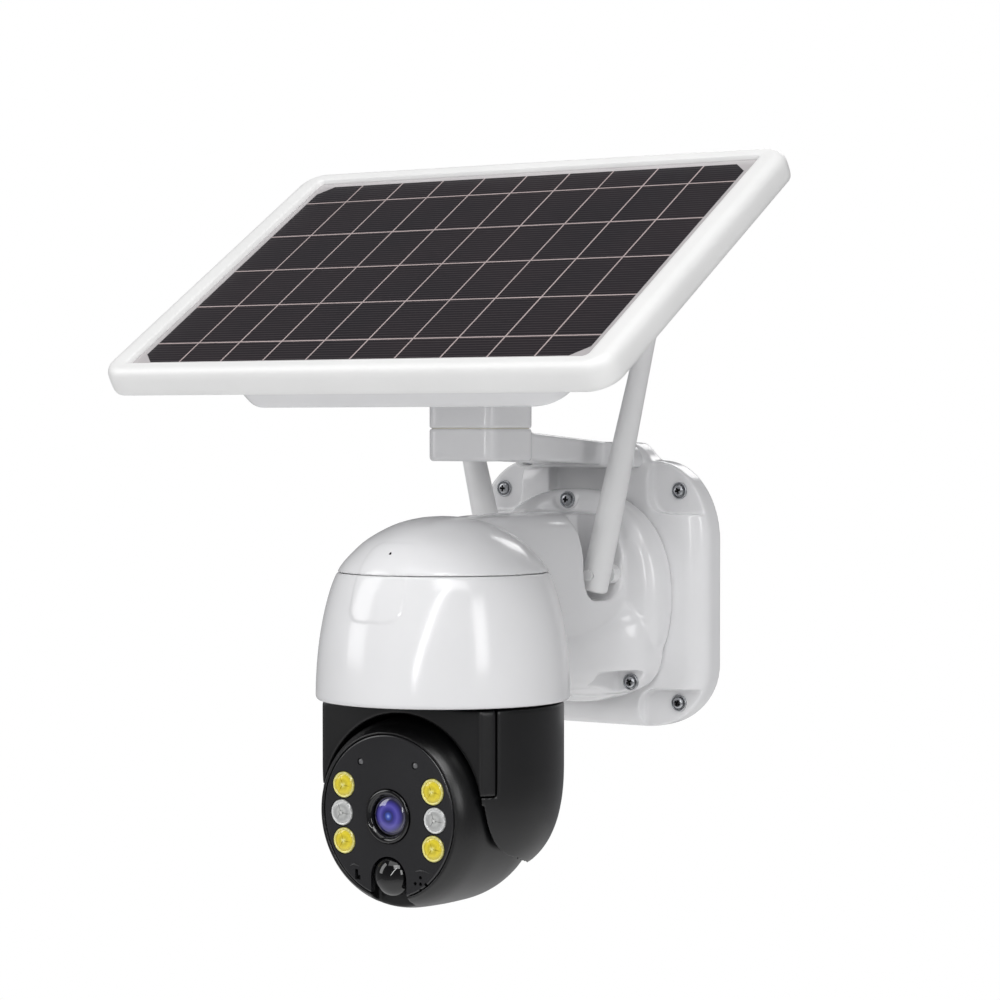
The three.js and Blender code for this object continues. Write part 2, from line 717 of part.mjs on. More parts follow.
// ---------------------------------------------------------------- head
// These pieces are modelled facing straight ahead, with the tilt axis through the origin.
const headProfile = [
  [ballRadius, 0],
  ...spread(
    [[0.056, 0.451], [0.194, 0.745], [0.458, 0.869], [0.778, 0.948], [1, 1]],
    [ballRadius, faceHalfWidth + 0.4],
    [0, faceReach],
  ),
];
const faceY = -faceReach;
const boardY = faceY + 14;
const micBackY = faceY + 3 + micDepth;

function headShell() {
  const back = ballArc(ballRadius, 7, true);
  const [flankRadius, flankReach] = headProfile[2];
  const outer = turnedForward([[0, -ballRadius], ...back, ...headProfile, [0, faceReach]], [0, 0, 0], fine);
  const room = turnedForward([
    [0, wall - ballRadius],
    ...ballArc(ballRadius - wall, 5, true),
    [ballRadius - wall, 0],
    [flankRadius - wall, flankReach],
    [faceHalfWidth - wall, faceReach - 1],
    [0, faceReach - 1],
  ], [0, 0, 0], hidden);
  const shell = cut(outer, room.intersect(block([-far, faceY + facePlateThick, -far], [far, far, far])));
  const plateRoom = frontal(faceOutline(-gap), faceY + facePlateThick + gap, faceY - 5);
  const axleHoles = bar('x', [0, 0, 0], -far, far, axleRadius + runGap);
  const pirNotch = bar('y', [0, 0, pirZ], faceY - 5, faceY + 6.5, pirRadius + gap);
  const micRoom = bar('y', [micX, 0, pirZ], faceY + 2, micBackY + gap, micRadius + gap);
  return cut(shell, plateRoom, axleHoles, pirNotch, micRoom);
}

// The egg-shaped face, a little narrower below than above.
function faceOutline(inset) {
  const shape = new THREE.Shape();
  const steps = 28;
  for (let step = 0; step < steps; step += 1) {
    const angle = 2 * Math.PI * step / steps;
    const narrowing = 1 - 0.05 * (1 - Math.sin(angle)) / 2;
    const x = (faceHalfWidth - inset) * Math.cos(angle) * narrowing;
    const z = (faceHalfWidth - inset) * Math.sin(angle);
    if (step === 0) shape.moveTo(x, z);
    else shape.lineTo(x, z);
  }
  shape.closePath();
  return shape;
}

const ledPlaces = [];
for (const [row, x] of [[1, ledX], [0, ledMiddleX], [-1, ledX]]) {
  for (const side of [-1, 1]) ledPlaces.push({ x: side * x, z: row * ledPitch, clear: row === 0 });
}
const sensorPlaces = [-sensorX, sensorX].map((x) => ({ x, z: sensorZ }));
const micPlace = { x: micX, z: pirZ };
const speakerPlace = { x: speakerX, z: pirZ - 1 };

// A hole right through the face.
function faceHole({ x, z }, radius, segments = coarse) {
  return bar('y', [x, 0, z], faceY - 9, faceY + 9, radius, segments);
}

function facePlate() {
  let plate = frontal(faceOutline(0), faceY + facePlateThick, faceY);
  plate = cut(plate, faceHole({ x: 0, z: 0 }, lensBezelRadius + gap, fine));
  for (const place of ledPlaces) plate = cut(plate, faceHole(place, ledRadius + gap));
  for (const place of sensorPlaces) plate = cut(plate, faceHole(place, sensorRadius + gap, tiny));
  plate = cut(plate, faceHole({ x: 0, z: pirZ }, pirRadius + gap));
  plate = cut(plate, block([-pirRadius - gap, faceY - 9, -far], [pirRadius + gap, faceY + 9, pirZ]));
  plate = cut(plate, faceHole(micPlace, micHole, tiny));
  for (const [across, up] of [[0, 0], [1, 0], [-1, 0], [0, 1], [0, -1]]) {
    const x = speakerPlace.x + across * speakerHolePitch;
    const z = speakerPlace.z + up * speakerHolePitch;
    plate = cut(plate, faceHole({ x, z }, speakerHole, tiny));
  }
  return plate;
}

function lensBezel() {
  const [inner, outer, throat] = [lensGlassRadius + gap, lensBezelRadius, lensGlassRadius - 1.5];
  const ring = [
    [throat, faceReach - 3],
    [throat, faceReach - 8],
    [outer, faceReach - 8],
    [outer, faceReach + 0.9],
    [outer - 1.2, faceReach + 1.2],
    [inner, faceReach - 0.6],
    [inner, faceReach - 3],
    [throat, faceReach - 3],
  ];
  return turnedForward(ring, [0, 0, 0], hidden);
}

function lensGlass() {
  const [back, edge, rise] = [faceReach - 2.6, faceReach - 1.6, 1.6];
  const profile = [[0, back], [lensGlassRadius, back], [lensGlassRadius, edge]];
  for (const share of [0.75, 0.45, 0]) profile.push([lensGlassRadius * share, edge + rise * (1 - share ** 2)]);
  return turnedForward(profile, [0, 0, 0], coarse);
}

function lensBarrel() {
  return bar('y', [0, 0, 0], faceY + 9, boardY - gap, barrelRadius);
}

function imageBoard() {
  const half = barrelRadius + 6.5;
  return block([-half, boardY, -half + 2], [half, boardY + boardThick, half]);
}

function ledBoard() {
  const [halfX, halfZ, lowZ] = [ledX + 6, ledPitch + 5.9, pirZ + pirRadius + 0.2];
  const sheet = block([-halfX, faceY + 6, -halfZ], [halfX, faceY + 7.2, halfZ]);
  const tongue = block([-pirRadius, faceY + 6, lowZ], [pirRadius, faceY + 7.2, 0]);
  return cut(join(sheet, tongue), faceHole({ x: 0, z: 0 }, lensBezelRadius + 2));
}

function ledLens({ x, z }) {
  const profile = [
    [0, faceReach - 5],
    [ledRadius - 1.4, faceReach - 5],
    [ledRadius, faceReach - 2],
    [ledRadius, faceReach + 0.2],
    [ledRadius - 0.9, faceReach + 0.7],
    [0, faceReach + 0.9],
  ];
  return turnedForward(profile, [x, 0, z], coarse);
}

function pirDome() {
  const base = faceReach - 1;
  const profile = [[0, faceReach - 6], [pirRadius, faceReach - 6], [pirRadius, base]];
  for (const angle of [30, 60]) {
    profile.push([pirRadius * Math.cos(rad(angle)), base + pirHeight * Math.sin(rad(angle))]);
  }
  return turnedForward([...profile, [0, base + pirHeight]], [0, 0, pirZ], coarse);
}

function lightSensor({ x, z }) {
  return bar('y', [x, 0, z], faceY + 0.3, faceY + 5, sensorRadius, tiny);
}

function speaker() {
  return bar('y', [speakerPlace.x - 6, 0, speakerPlace.z + 4], faceY + 9, boardY, speakerRadius);
}

function microphone() {
  return bar('y', [micPlace.x, 0, micPlace.z], micBackY - micDepth, micBackY, micRadius, tiny);
}

// The can turns with the head. Its bore turns round the axle that is fixed in the yoke.
function tiltMotor() {
  const can = bar('x', [0, 0, 0], tiltMotorInner, tiltMotorOuter, tiltMotorRadius);
  return cut(can, bar('x', [0, 0, 0], tiltMotorOuter - 3, far, axleRadius + runGap));
}

function tiltAxle(side) {
  const near = side > 0 ? tiltMotorOuter - 2.5 : ballRadius - 11.6;
  const [low, high] = [side * near, side * axleReach].sort((a, b) => a - b);
  return bar('x', tiltPoint, low, high, axleRadius);
}

// ---------------------------------------------------------------- solar arm and swivel
function armBeam() {
  const side = new THREE.Shape();
  side.moveTo(armRootY + 2, armRootBottom);
  side.lineTo(armRootY + 2, armRootTop);
  side.lineTo(armHeadY + 8, armHeadTop - 1);
  side.lineTo(armHeadY + 8, armHeadBottom + 0.5);
  side.closePath();
  const beam = new THREE.ExtrudeGeometry(side, { depth: 2 * armHalfWidth, bevelEnabled: false });
  return solid(beam.rotateY(Math.PI / 2).rotateX(Math.PI / 2).translate(-armHalfWidth, 0, 0));
}

function armFoot() {
  const foot = new THREE.Shape();
  const [half, chamfer] = [armFootHalfWidth, 6];
  foot.moveTo(-half, armFootBottom);
  foot.lineTo(half, armFootBottom);
  foot.lineTo(half, armRootTop - chamfer);
  foot.lineTo(half - chamfer, armRootTop);
  foot.lineTo(chamfer - half, armRootTop);
  foot.lineTo(-half, armRootTop - chamfer);
  foot.closePath();
  return frontal(foot, plateFrontY - gap, armRootY);
}

const headOutline = () => roundedRectangle(2 * armHeadHalf, 2 * armHeadHalf, 5, armHeadY);
const onSwivel = (low, high, radius, segments) => bar('z', [0, armHeadY, 0], low, high, radius, segments);
const onHinge = (low, high, radius, segments) => bar('x', [0, armHeadY, hingeZ], low, high, radius, segments);

function solarArm() {
  let arm = join(armBeam(), raisedOutline(headOutline(), armHeadBottom, armHeadTop, 0.8), armFoot());
  for (const x of [-armScrewX, armScrewX]) arm = cut(arm, screwHole(x, armScrewSeatY, armScrewZ));
  const headTop = armHeadBottom + 0.5 + swivelHeadThick;
  return cut(
    arm,
    onSwivel(armHeadBottom - 8, armHeadTop + 6, swivelPinRadius + gap),
    onSwivel(armHeadBottom - 8, headTop + gap, swivelHeadRadius + gap, 6),
  );
}

function swivelBolt() {
  const low = armHeadBottom + 0.5;
  const head = onSwivel(low, low + swivelHeadThick, swivelHeadRadius, 6);
  return join(head, onSwivel(low + 3.5, swivelTop + 6, swivelPinRadius));
}

const nutPitLow = swivelTop - 4;

function swivelNut() {
  const nut = onSwivel(nutPitLow + gap, nutPitLow + gap + 5, swivelHeadRadius - 0.5, 6);
  return cut(nut, onSwivel(armHeadTop, hingeZ, swivelPinRadius + gap));
}

function panelSwivel() {
  let swivel = raisedOutline(headOutline(), armHeadTop + gap, swivelTop, 0.8);
  const [near, far] = [lugHalfWidth + gap, lugHalfWidth + gap + earThick];
  for (const [x0, x1] of [[near, far], [-far, -near]]) {
    const cheek = block([x0, armHeadY - earRadius, swivelTop - 2], [x1, armHeadY + earRadius, hingeZ]);
    swivel = join(swivel, onHinge(x0, x1, earRadius), cheek);
  }
  return cut(
    swivel,
    onSwivel(armHeadTop - 8, swivelTop + 8, swivelPinRadius + runGap),
    onSwivel(nutPitLow, swivelTop + 6, swivelHeadRadius + 0.2),
    onHinge(-far - 9, far + 9, hingePinRadius + gap),
  );
}

const boltReach = lugHalfWidth + gap + earThick;

function hingeBolt() {
  const headLow = boltReach + gap;
  const shank = onHinge(-boltReach - 7, headLow + 1, hingePinRadius);
  return join(shank, onHinge(headLow, headLow + 4, nutRadius, 6));
}

function hingeNut() {
  const high = -boltReach - gap;
  return cut(onHinge(high - 5, high, nutRadius, 6), onHinge(high - 9, 0, hingePinRadius + gap));
}

// ---------------------------------------------------------------- panel and battery box
const boxBottom = glassHeight - boxDepth;
const frameBottom = glassHeight - frameBelow;
const boxFloor = boxBottom + wall;
const panelOutline = (length, width, corner) => roundedRectangle(length, width, corner, panelShift);

function panelFrame() {
  const outline = panelOutline(panelLength, panelWidth, panelCorner);
  const outer = raisedOutline(outline, frameBottom, glassHeight + frameAbove, frameRound, 2);
  const seatOutline = panelOutline(glassLength + 2 * gap, glassWidth + 2 * gap, 2);
  const seat = raisedOutline(seatOutline, glassHeight - glassThick - gap, far);
  const throughOutline = panelOutline(glassLength - 2 * glassLedge, glassWidth - 2 * glassLedge, 3);
  return cut(outer, seat, raisedOutline(throughOutline, 0, far));
}

function solarLaminate() {
  return raisedOutline(panelOutline(glassLength, glassWidth, 2), glassHeight - glassThick, glassHeight);
}

function batteryBox() {
  const top = frameBottom - gap;
  const flangeOutline = panelOutline(glassLength + 12, glassWidth + 6, 10);
  const flange = raisedOutline(flangeOutline, top - flangeThick, top);
  const [low, high] = [[boxBottomLength, boxBottomWidth], [boxTopLength, boxTopWidth]];
  const inner = (size) => size.map((length) => length - 2 * wall);
  const pan = tapered(boxBottom, top - 1, low, high, boxCorner, panelShift);
  const room = tapered(boxFloor, top + 1, inner(low), inner(high), boxCorner - 2, panelShift);
  return cut(join(flange, pan), room);
}

function hingeLug() {
  const face = boxBottom - gap;
  const pad = block([-lugPad.x, -lugPad.y, face - lugPad.thick], [lugPad.x, lugPad.y, face]);
  const web = block([-lugHalfWidth, -lugRadius, 0], [lugHalfWidth, lugRadius, face - 2]);
  const knuckle = bar('x', [0, 0, 0], -lugHalfWidth, lugHalfWidth, lugRadius);
  const bore = bar('x', [0, 0, 0], -lugPad.x, lugPad.x, hingePinRadius + gap);
  return cut(join(pad, web, knuckle), bore);
}

const cellEndX = 10;

function batteryCell(row) {
  const centre = [0, panelShift + (row + 1) * cellPitch, boxFloor + cellRadius + 0.4];
  return bar('x', centre, cellEndX - cellLength, cellEndX, cellRadius);
}

function chargeBoard() {
  const [low, start] = [boxFloor + 4, cellEndX + 8];
  const sheet = block([start, panelShift - 40, low], [start + 50, panelShift + 40, low + boardThick]);
  const coil = block([start + 8, panelShift - 26, low + 1], [start + 20, panelShift - 10, low + 8]);
  return join(sheet, coil);
}

// ---------------------------------------------------------------- antennas
const socketFrontY = antennaY + antennaBaseRadius + 1.4;
const socketBore = 14;

function antennaSocket(side) {
  const centre = [side * antennaX, 0, antennaZ];
  const boss = bar('y', centre, socketFrontY + gap, plateFrontY - 4, socketRadius);
  return cut(boss, bar('y', centre, socketFrontY - 1, socketFrontY + socketBore, antennaPinRadius + gap, tiny));
}

function antennaPin(side) {
  const centre = [side * antennaX, 0, antennaZ];
  const frontY = antennaY - antennaBaseRadius - 0.8;
  const pin = bar('y', centre, frontY, socketFrontY + socketBore - 2, antennaPinRadius, tiny);
  return join(pin, bar('y', centre, frontY - 1, frontY, antennaPinRadius + 0.8, tiny));
}

// A tapered rod with a round tip, its pivot at the origin.
function antenna() {
  const middleRadius = (antennaBaseRadius + antennaTipRadius) / 2;
  const profile = [
    [0, -antennaBelow],
    [antennaBaseRadius - 1, -antennaBelow],
    [antennaBaseRadius, -antennaBelow + 1],
    [antennaBaseRadius, 10],
    [antennaBaseRadius - 0.4, 30],
    [middleRadius - 0.1, 0.56 * antennaAbove],
    [antennaTipRadius + 0.2, antennaAbove - 8],
    [antennaTipRadius - 0.4, antennaAbove - 2],
    [antennaTipRadius / 2, antennaAbove - 0.2],
    [0, antennaAbove],
  ];
  const bore = bar('y', [0, 0, 0], -20, 20, antennaPinRadius + gap, tiny);
  return cut(turned(profile, [0, 0, 0], coarse), bore);
}

// ---------------------------------------------------------------- circuit board in the dome
function mainBoard() {
  const low = panFloorZ + 31;
  const board = bar('z', at(0), low, low + boardThick, mainBoardRadius);
  const neckNotch = block([-far, domeY + mainBoardRadius / 2, low - 8], [far, 0, low + 12]);
  const chip = block([-12, domeY - 20, low + 1], [6, domeY - 4, low + 6]);
  return cut(join(board, chip), neckNotch);
}

// ---------------------------------------------------------------- the assembly
const camera = new THREE.Group();

part(camera, 'base_plate', 'whiteAbs', basePlate());
plateScrews.forEach(([side, z], i) => {
  part(camera, `plate_screw_${i + 1}`, 'steel', screw(side * plateScrewX, pocketFloorY, z));
});
part(camera, 'neck_housing', 'whiteAbs', neckHousing());
for (const { name, x, z } of footScrews) {
  part(camera, `foot_screw_${name}`, 'steel', screw(x, footScrewY, z, footScrewLength));
}
part(camera, 'dome_skirt', 'whiteAbs', domeSkirt());
part(camera, 'pan_floor', 'blackAbs', panFloor());
part(camera, 'main_board', 'board', mainBoard());
part(camera, 'pan_motor', 'steel', panMotor());
part(camera, 'pan_pinion', 'gearNylon', panPinion());
part(camera, 'pan_gear', 'gearNylon', panGear());
part(camera, 'yoke_body', 'blackAbs', yokeBody());
part(camera, 'yoke_front', 'blackAbs', yokeFront());
part(camera, 'tilt_axle_right', 'steel', tiltAxle(1));
part(camera, 'tilt_axle_left', 'steel', tiltAxle(-1));

const head = new THREE.Group();
head.position.set(...tiltPoint);
head.rotation.x = rad(restTilt);
camera.add(head);
part(head, 'head_shell', 'blackAbs', headShell());
part(head, 'face_plate', 'facePlate', facePlate());
part(head, 'lens_bezel', 'blackGloss', lensBezel());
part(head, 'lens_glass', 'lens', lensGlass());
part(head, 'lens_barrel', 'blackAbs', lensBarrel());
part(head, 'image_board', 'board', imageBoard());
part(head, 'led_board', 'board', ledBoard());
ledPlaces.forEach((place, i) => {
  part(head, `led_lens_${i + 1}`, place.clear ? 'clearLed' : 'yellowLed', ledLens(place));
});
part(head, 'pir_dome', 'blackGloss', pirDome());
sensorPlaces.forEach((place, i) => part(head, `light_sensor_${i + 1}`, 'sensorGrey', lightSensor(place)));
part(head, 'speaker', 'steel', speaker());
part(head, 'microphone', 'steel', microphone());
part(head, 'tilt_motor', 'steel', tiltMotor());

part(camera, 'solar_arm', 'whiteAbs', solarArm());
for (const [name, side] of [['left', -1], ['right', 1]]) {
  const screwX = side * armScrewX;
  part(camera, `arm_screw_${name}`, 'steel', screw(screwX, armScrewSeatY, armScrewZ, armScrewLength));
  part(camera, `antenna_socket_${name}`, 'whiteAbs', antennaSocket(side));
  part(camera, `antenna_pin_${name}`, 'steel', antennaPin(side));
  const rod = part(camera, `antenna_${name}`, 'whiteAbs', antenna());
  rod.position.set(side * antennaX, antennaY, antennaZ);
  rod.rotation.y = side * rad(antennaLean);
}
part(camera, 'swivel_bolt', 'steel', swivelBolt());
part(camera, 'swivel_nut', 'steel', swivelNut());
part(camera, 'panel_swivel', 'whiteAbs', panelSwivel());
part(camera, 'hinge_bolt', 'steel', hingeBolt());
part(camera, 'hinge_nut', 'steel', hingeNut());

const panel = new THREE.Group();
panel.position.set(0, armHeadY, hingeZ);
panel.rotation.x = rad(panelTilt);
camera.add(panel);
part(panel, 'panel_frame', 'panelWhite', panelFrame());
part(panel, 'solar_laminate', 'glass', solarLaminate());
part(panel, 'battery_box', 'whiteAbs', batteryBox());
part(panel, 'hinge_lug', 'whiteAbs', hingeLug());
[-1, 0, 1].forEach((row, i) => part(panel, `battery_cell_${i + 1}`, 'cellWrap', batteryCell(row)));
part(panel, 'charge_board', 'board', chargeBoard());

export default camera;
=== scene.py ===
"""Solar-powered pan-and-tilt security camera: the visual model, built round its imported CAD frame."""

import json
import math

import bmesh
import bpy
from bpy.props import FloatProperty, FloatVectorProperty, IntProperty, PointerProperty
from mathutils import Matrix, Vector


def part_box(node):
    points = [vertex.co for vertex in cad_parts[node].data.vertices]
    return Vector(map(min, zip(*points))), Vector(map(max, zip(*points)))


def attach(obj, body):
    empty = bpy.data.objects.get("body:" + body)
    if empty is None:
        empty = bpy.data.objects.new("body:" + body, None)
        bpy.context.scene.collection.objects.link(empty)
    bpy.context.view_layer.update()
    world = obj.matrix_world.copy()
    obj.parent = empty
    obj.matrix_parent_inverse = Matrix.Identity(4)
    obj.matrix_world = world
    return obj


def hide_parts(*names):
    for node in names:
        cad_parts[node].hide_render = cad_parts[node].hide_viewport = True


bl_info = {
    "name": "Solar Security Camera",
    "version": (1, 0, 0),
    "blender": (4, 5, 0),
    "location": "View3D > Sidebar > Solar Camera",
    "description": "Builds the mouldings, glass, lamps and fittings of a solar-powered security camera",
    "category": "Add Mesh",
}

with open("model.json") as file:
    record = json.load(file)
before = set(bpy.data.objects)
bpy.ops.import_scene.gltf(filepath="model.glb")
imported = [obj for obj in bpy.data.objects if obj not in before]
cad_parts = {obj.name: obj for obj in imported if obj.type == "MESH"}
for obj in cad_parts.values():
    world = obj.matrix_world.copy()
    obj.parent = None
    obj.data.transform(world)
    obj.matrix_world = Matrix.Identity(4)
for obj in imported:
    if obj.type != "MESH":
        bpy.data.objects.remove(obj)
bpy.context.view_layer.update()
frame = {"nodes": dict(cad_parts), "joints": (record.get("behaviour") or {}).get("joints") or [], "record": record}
JOINT_PLACES = {joint["name"]: Vector(joint["pos_m"]) for joint in frame["joints"]}

MM = 0.001
REST_TILT = math.radians(1)
PANEL_SLOPE = math.radians(32.7)
DOME_AXIS = JOINT_PLACES["camera_pan"]
TILT_AXIS = JOINT_PLACES["camera_tilt"]
HINGE_AXIS = JOINT_PLACES["panel_tilt"]
DOME_Y = DOME_AXIS.y / MM
ARM_Y = HINGE_AXIS.y / MM

PLAIN = Matrix.Identity(4)
DOME_FRAME = Matrix.Translation((0, DOME_AXIS.y, 0))
HEAD_FRAME = Matrix.Translation(TILT_AXIS) @ Matrix.Rotation(REST_TILT, 4, "X")
PANEL_FRAME = Matrix.Translation(HINGE_AXIS) @ Matrix.Rotation(PANEL_SLOPE, 4, "X")
FORWARD = Matrix.Rotation(math.pi / 2, 4, "X")      # turns a body's +Z to face -Y


def linear(colour):
    """An sRGB hex colour as the linear red, green, blue and alpha that shaders take."""
    shares = [int(colour[i:i + 2], 16) / 255 for i in (0, 2, 4)]
    return [s / 12.92 if s <= 0.04045 else ((s + 0.055) / 1.055) ** 2.4 for s in shares] + [1.0]


def reach(node, axis):
    """Low and high ends of a CAD node along an axis of the row frame, in millimetres."""
    low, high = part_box(node)
    return low[axis] / MM, high[axis] / MM


def middle(node):
    """Centre of a CAD node's box in the row frame, in millimetres."""
    low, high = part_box(node)
    return (low + high) / 2 / MM


# ---------------------------------------------------------------- settings

def millimetres(name, description, default):
    return FloatProperty(name=name, description=description, default=default * MM, unit="LENGTH", precision=4)


def tint(name, description, colour):
    return FloatVectorProperty(name=name, description=description, default=linear(colour), size=4,
                               subtype="COLOR")


class SOLARCAM_PG_casing(bpy.types.PropertyGroup):
    """Sizes and colours of the white mouldings."""

    white: tint("White ABS", "Colour of the gloss mouldings", "EAEAEB")
    sleeve: tint("Antenna sleeve", "Colour of the antenna sleeves", "EEEEEE")
    edge: millimetres("Plate edge", "How far the wall plate's rounded edge runs inwards", 12)
    voxel: millimetres("Skin detail", "Mesh size of the moulded skins", 0.75)


class SOLARCAM_PG_head(bpy.types.PropertyGroup):
    """Sizes and colours of the yoke and camera head."""

    black: tint("Black ABS", "Colour of the satin yoke and head", "0B0B0C")
    face: tint("Face", "Colour of the face plate", "1D1D1F")
    yellow: tint("Phosphor", "Colour of the warm lamps", "EAD62E")
    lens: tint("Lens coating", "Colour of the lens glass", "3B36A8")
    voxel: millimetres("Skin detail", "Mesh size of the moulded skins", 0.7)


class SOLARCAM_PG_panel(bpy.types.PropertyGroup):
    """Sizes and colours of the solar panel."""

    frame: tint("Frame", "Colour of the panel's frame", "EFEFEE")
    cell: tint("Cell", "Colour of the silicon cells", "0D0A11")
    columns: IntProperty(name="Columns", description="Cell strips across the panel", default=10, min=1)
    ribbons: IntProperty(name="Ribbons", description="Ribbons that cross the strips", default=5, min=1)
    pitch: millimetres("Cell pitch", "From one strip to the next", 25.2)
    ribbon_pitch: millimetres("Ribbon pitch", "From one ribbon to the next", 34.3)
    gap: millimetres("Cell gap", "Pale line between two strips", 0.8)


class SOLARCAM_PG_stage(bpy.types.PropertyGroup):
    """Camera and light."""

    lens: FloatProperty(name="Lens", description="Focal length of the camera", default=107.2, unit="CAMERA")
    backdrop: FloatProperty(name="Backdrop", description="Brightness of what surfaces reflect", default=1.0)
    key: FloatProperty(name="Key light", description="Power of the main softbox", default=14.0, unit="POWER")


# ---------------------------------------------------------------- outlines and profiles, in millimetres

def softened(points, radius, closed=False, steps=5):
    """A path of straight runs with each corner turned into a curve of about that radius."""
    count = len(points)
    result = []
    for i, point in enumerate(points):
        if not closed and i in (0, count - 1):
            result.append(tuple(point))
            continue
        here = Vector(point)
        before, after = Vector(points[i - 1]), Vector(points[(i + 1) % count])
        run = min(radius, (before - here).length * 0.48, (after - here).length * 0.48)
        start = here + (before - here).normalized() * run
        end = here + (after - here).normalized() * run
        for step in range(steps + 1):
            t = step / steps
            result.append(tuple(start * (1 - t) ** 2 + here * 2 * t * (1 - t) + end * t ** 2))
    return result


def rounded_rectangle(length, width, radius, middle_y=0.0, steps=10):
    """Points round a rectangle with round corners."""
    points = []
    for quarter, (sx, sy) in enumerate([(1, 1), (-1, 1), (-1, -1), (1, -1)]):
        for step in range(steps + 1):
            angle = (quarter + step / steps) * math.pi / 2
            x = sx * (length / 2 - radius) + radius * math.cos(angle)
            points.append((x, middle_y + sy * (width / 2 - radius) + radius * math.sin(angle)))
    return points


def superellipse(half_width, half_height, squareness, centre=(0.0, 0.0), count=96):
    """Points round an oval that is squarer as squareness grows."""
    points = []
    for i in range(count):
        angle = 2 * math.pi * i / count
        c, s = math.cos(angle), math.sin(angle)
        x = math.copysign(abs(c) ** (2 / squareness), c) * half_width
        points.append((centre[0] + x, centre[1] + math.copysign(abs(s) ** (2 / squareness), s) * half_height))
    return points


def quarter_turn(steps, first=0):
    """Cosine and sine at even steps from 0 to 90 degrees."""
    angles = [math.pi / 2 * step / steps for step in range(first, steps + 1)]
    return [(math.cos(angle), math.sin(angle)) for angle in angles]


def inset(points, distance):
    """A closed counter-clockwise outline moved inwards by a distance."""
    count = len(points)
    moved = []
    for i, (x, y) in enumerate(points):
        before, after = points[i - 1], points[(i + 1) % count]
        along = Vector((after[0] - before[0], after[1] - before[1])).normalized()
        moved.append((x - along.y * distance, y + along.x * distance))
    return moved


def smooth_rows(rows, steps):
    """Rows of numbers with more rows between them, on a smooth curve through them all."""
    result = []
    last = len(rows) - 1
    for i in range(last):
        a, b, c, d = rows[max(i - 1, 0)], rows[i], rows[i + 1], rows[min(i + 2, last)]
        for step in range(steps):
            t = step / steps
            result.append([
                0.5 * (2 * q + (r - p) * t + (2 * p - 5 * q + 4 * r - s) * t * t + (3 * q - p - 3 * r + s) * t ** 3)
                for p, q, r, s in zip(a, b, c, d)
            ])
    return result + [list(rows[last])]


# ---------------------------------------------------------------- bodies

def body_of_rings(name, rings, place=PLAIN, lids=True):
    """A body through rings of [x, y, z] points in millimetres, with a lid on each end unless it needs none."""
    count = len(rings[0])
    mesh = bpy.data.meshes.new(name)
    vertices = [Vector(point) * MM for ring in rings for point in ring]
    faces = []
    for row in range(len(rings) - 1):
        low, high = row * count, (row + 1) * count
        faces += [(low + i, low + (i + 1) % count, high + (i + 1) % count, high + i) for i in range(count)]
    if lids:
        faces += [tuple(range(count)), tuple(range((len(rings) - 1) * count, len(rings) * count))]
    mesh.from_pydata(vertices, [], faces)
    return tidy_body(name, mesh, place)


def tidy_body(name, mesh, place):
    """An object for a mesh, with doubled points merged and all faces turned outwards."""
    work = bmesh.new()
    work.from_mesh(mesh)
    bmesh.ops.remove_doubles(work, verts=work.verts, dist=0.002 * MM)
    bmesh.ops.dissolve_degenerate(work, edges=work.edges, dist=0.001 * MM)
    bmesh.ops.recalc_face_normals(work, faces=work.faces)
    work.to_mesh(mesh)
    work.free()
    body = bpy.data.objects.new(name, mesh)
    body.matrix_world = place
    bpy.context.scene.collection.objects.link(body)
    return body


def spun(name, profile, place=PLAIN, segments=128, ring=False):
    """A body turned round its own Z axis from [radius, height] points; a ring's profile closes on itself."""
    angles = [2 * math.pi * i / segments for i in range(segments)]
    rings = [[(radius * math.cos(angle), radius * math.sin(angle), height) for angle in angles]
             for radius, height in list(profile) + ([profile[0]] if ring else [])]
    return body_of_rings(name, rings, place, lids=False)


def slab(name, outline, low, high, edge=0.0, place=PLAIN, low_edge=None, steps=5):
    """An outline in X and Y with thickness in Z, its upper and lower edges rounded."""
    low_edge = edge if low_edge is None else low_edge
    rings = []
    for c, s in quarter_turn(steps):
        level = low + low_edge * (1 - s)
        rings.insert(0, [(x, y, level) for x, y in inset(outline, low_edge * (1 - c))])
    for c, s in quarter_turn(steps):
        level = high - edge * (1 - s)
        rings.append([(x, y, level) for x, y in inset(outline, edge * (1 - c))])
    return body_of_rings(name, rings, place)


def brick(name, low, high, radius=0.0, edge=0.0, place=PLAIN):
    """A box between two corners, with rounded uprights and rounded upper and lower edges."""
    (x0, y0, z0), (x1, y1, z1) = low, high
    outline = rounded_rectangle(x1 - x0, y1 - y0, max(radius, 0.01), 0.0, 8)
    outline = [(x + (x0 + x1) / 2, y + (y0 + y1) / 2) for x, y in outline]
    return slab(name, outline, z0, z1, edge, place, steps=4 if edge else 1)


def cylinder(name, radius, low, high, place=PLAIN, segments=48):
    """A round bar along its own Z axis, between two heights."""
    return spun(name, [(0, low), (radius, low), (radius, high), (0, high)], place, segments)


def prism(name, outline, near, far, place=PLAIN):
    """An outline in X and Z drawn out along Y, between two depths."""
    return body_of_rings(name, [[(x, y, z) for x, z in outline] for y in (near, far)], place)


def facing(x, y, z):
    """A place in millimetres for a body whose own +Z faces -Y."""
    return Matrix.Translation((x * MM, y * MM, z * MM)) @ FORWARD


def settle(body):
    """Applies a body's modifiers to its mesh."""
    graph = bpy.context.evaluated_depsgraph_get()
    graph.update()
    mesh = bpy.data.meshes.new_from_object(body.evaluated_get(graph))
    body.modifiers.clear()
    body.data = mesh
    return body


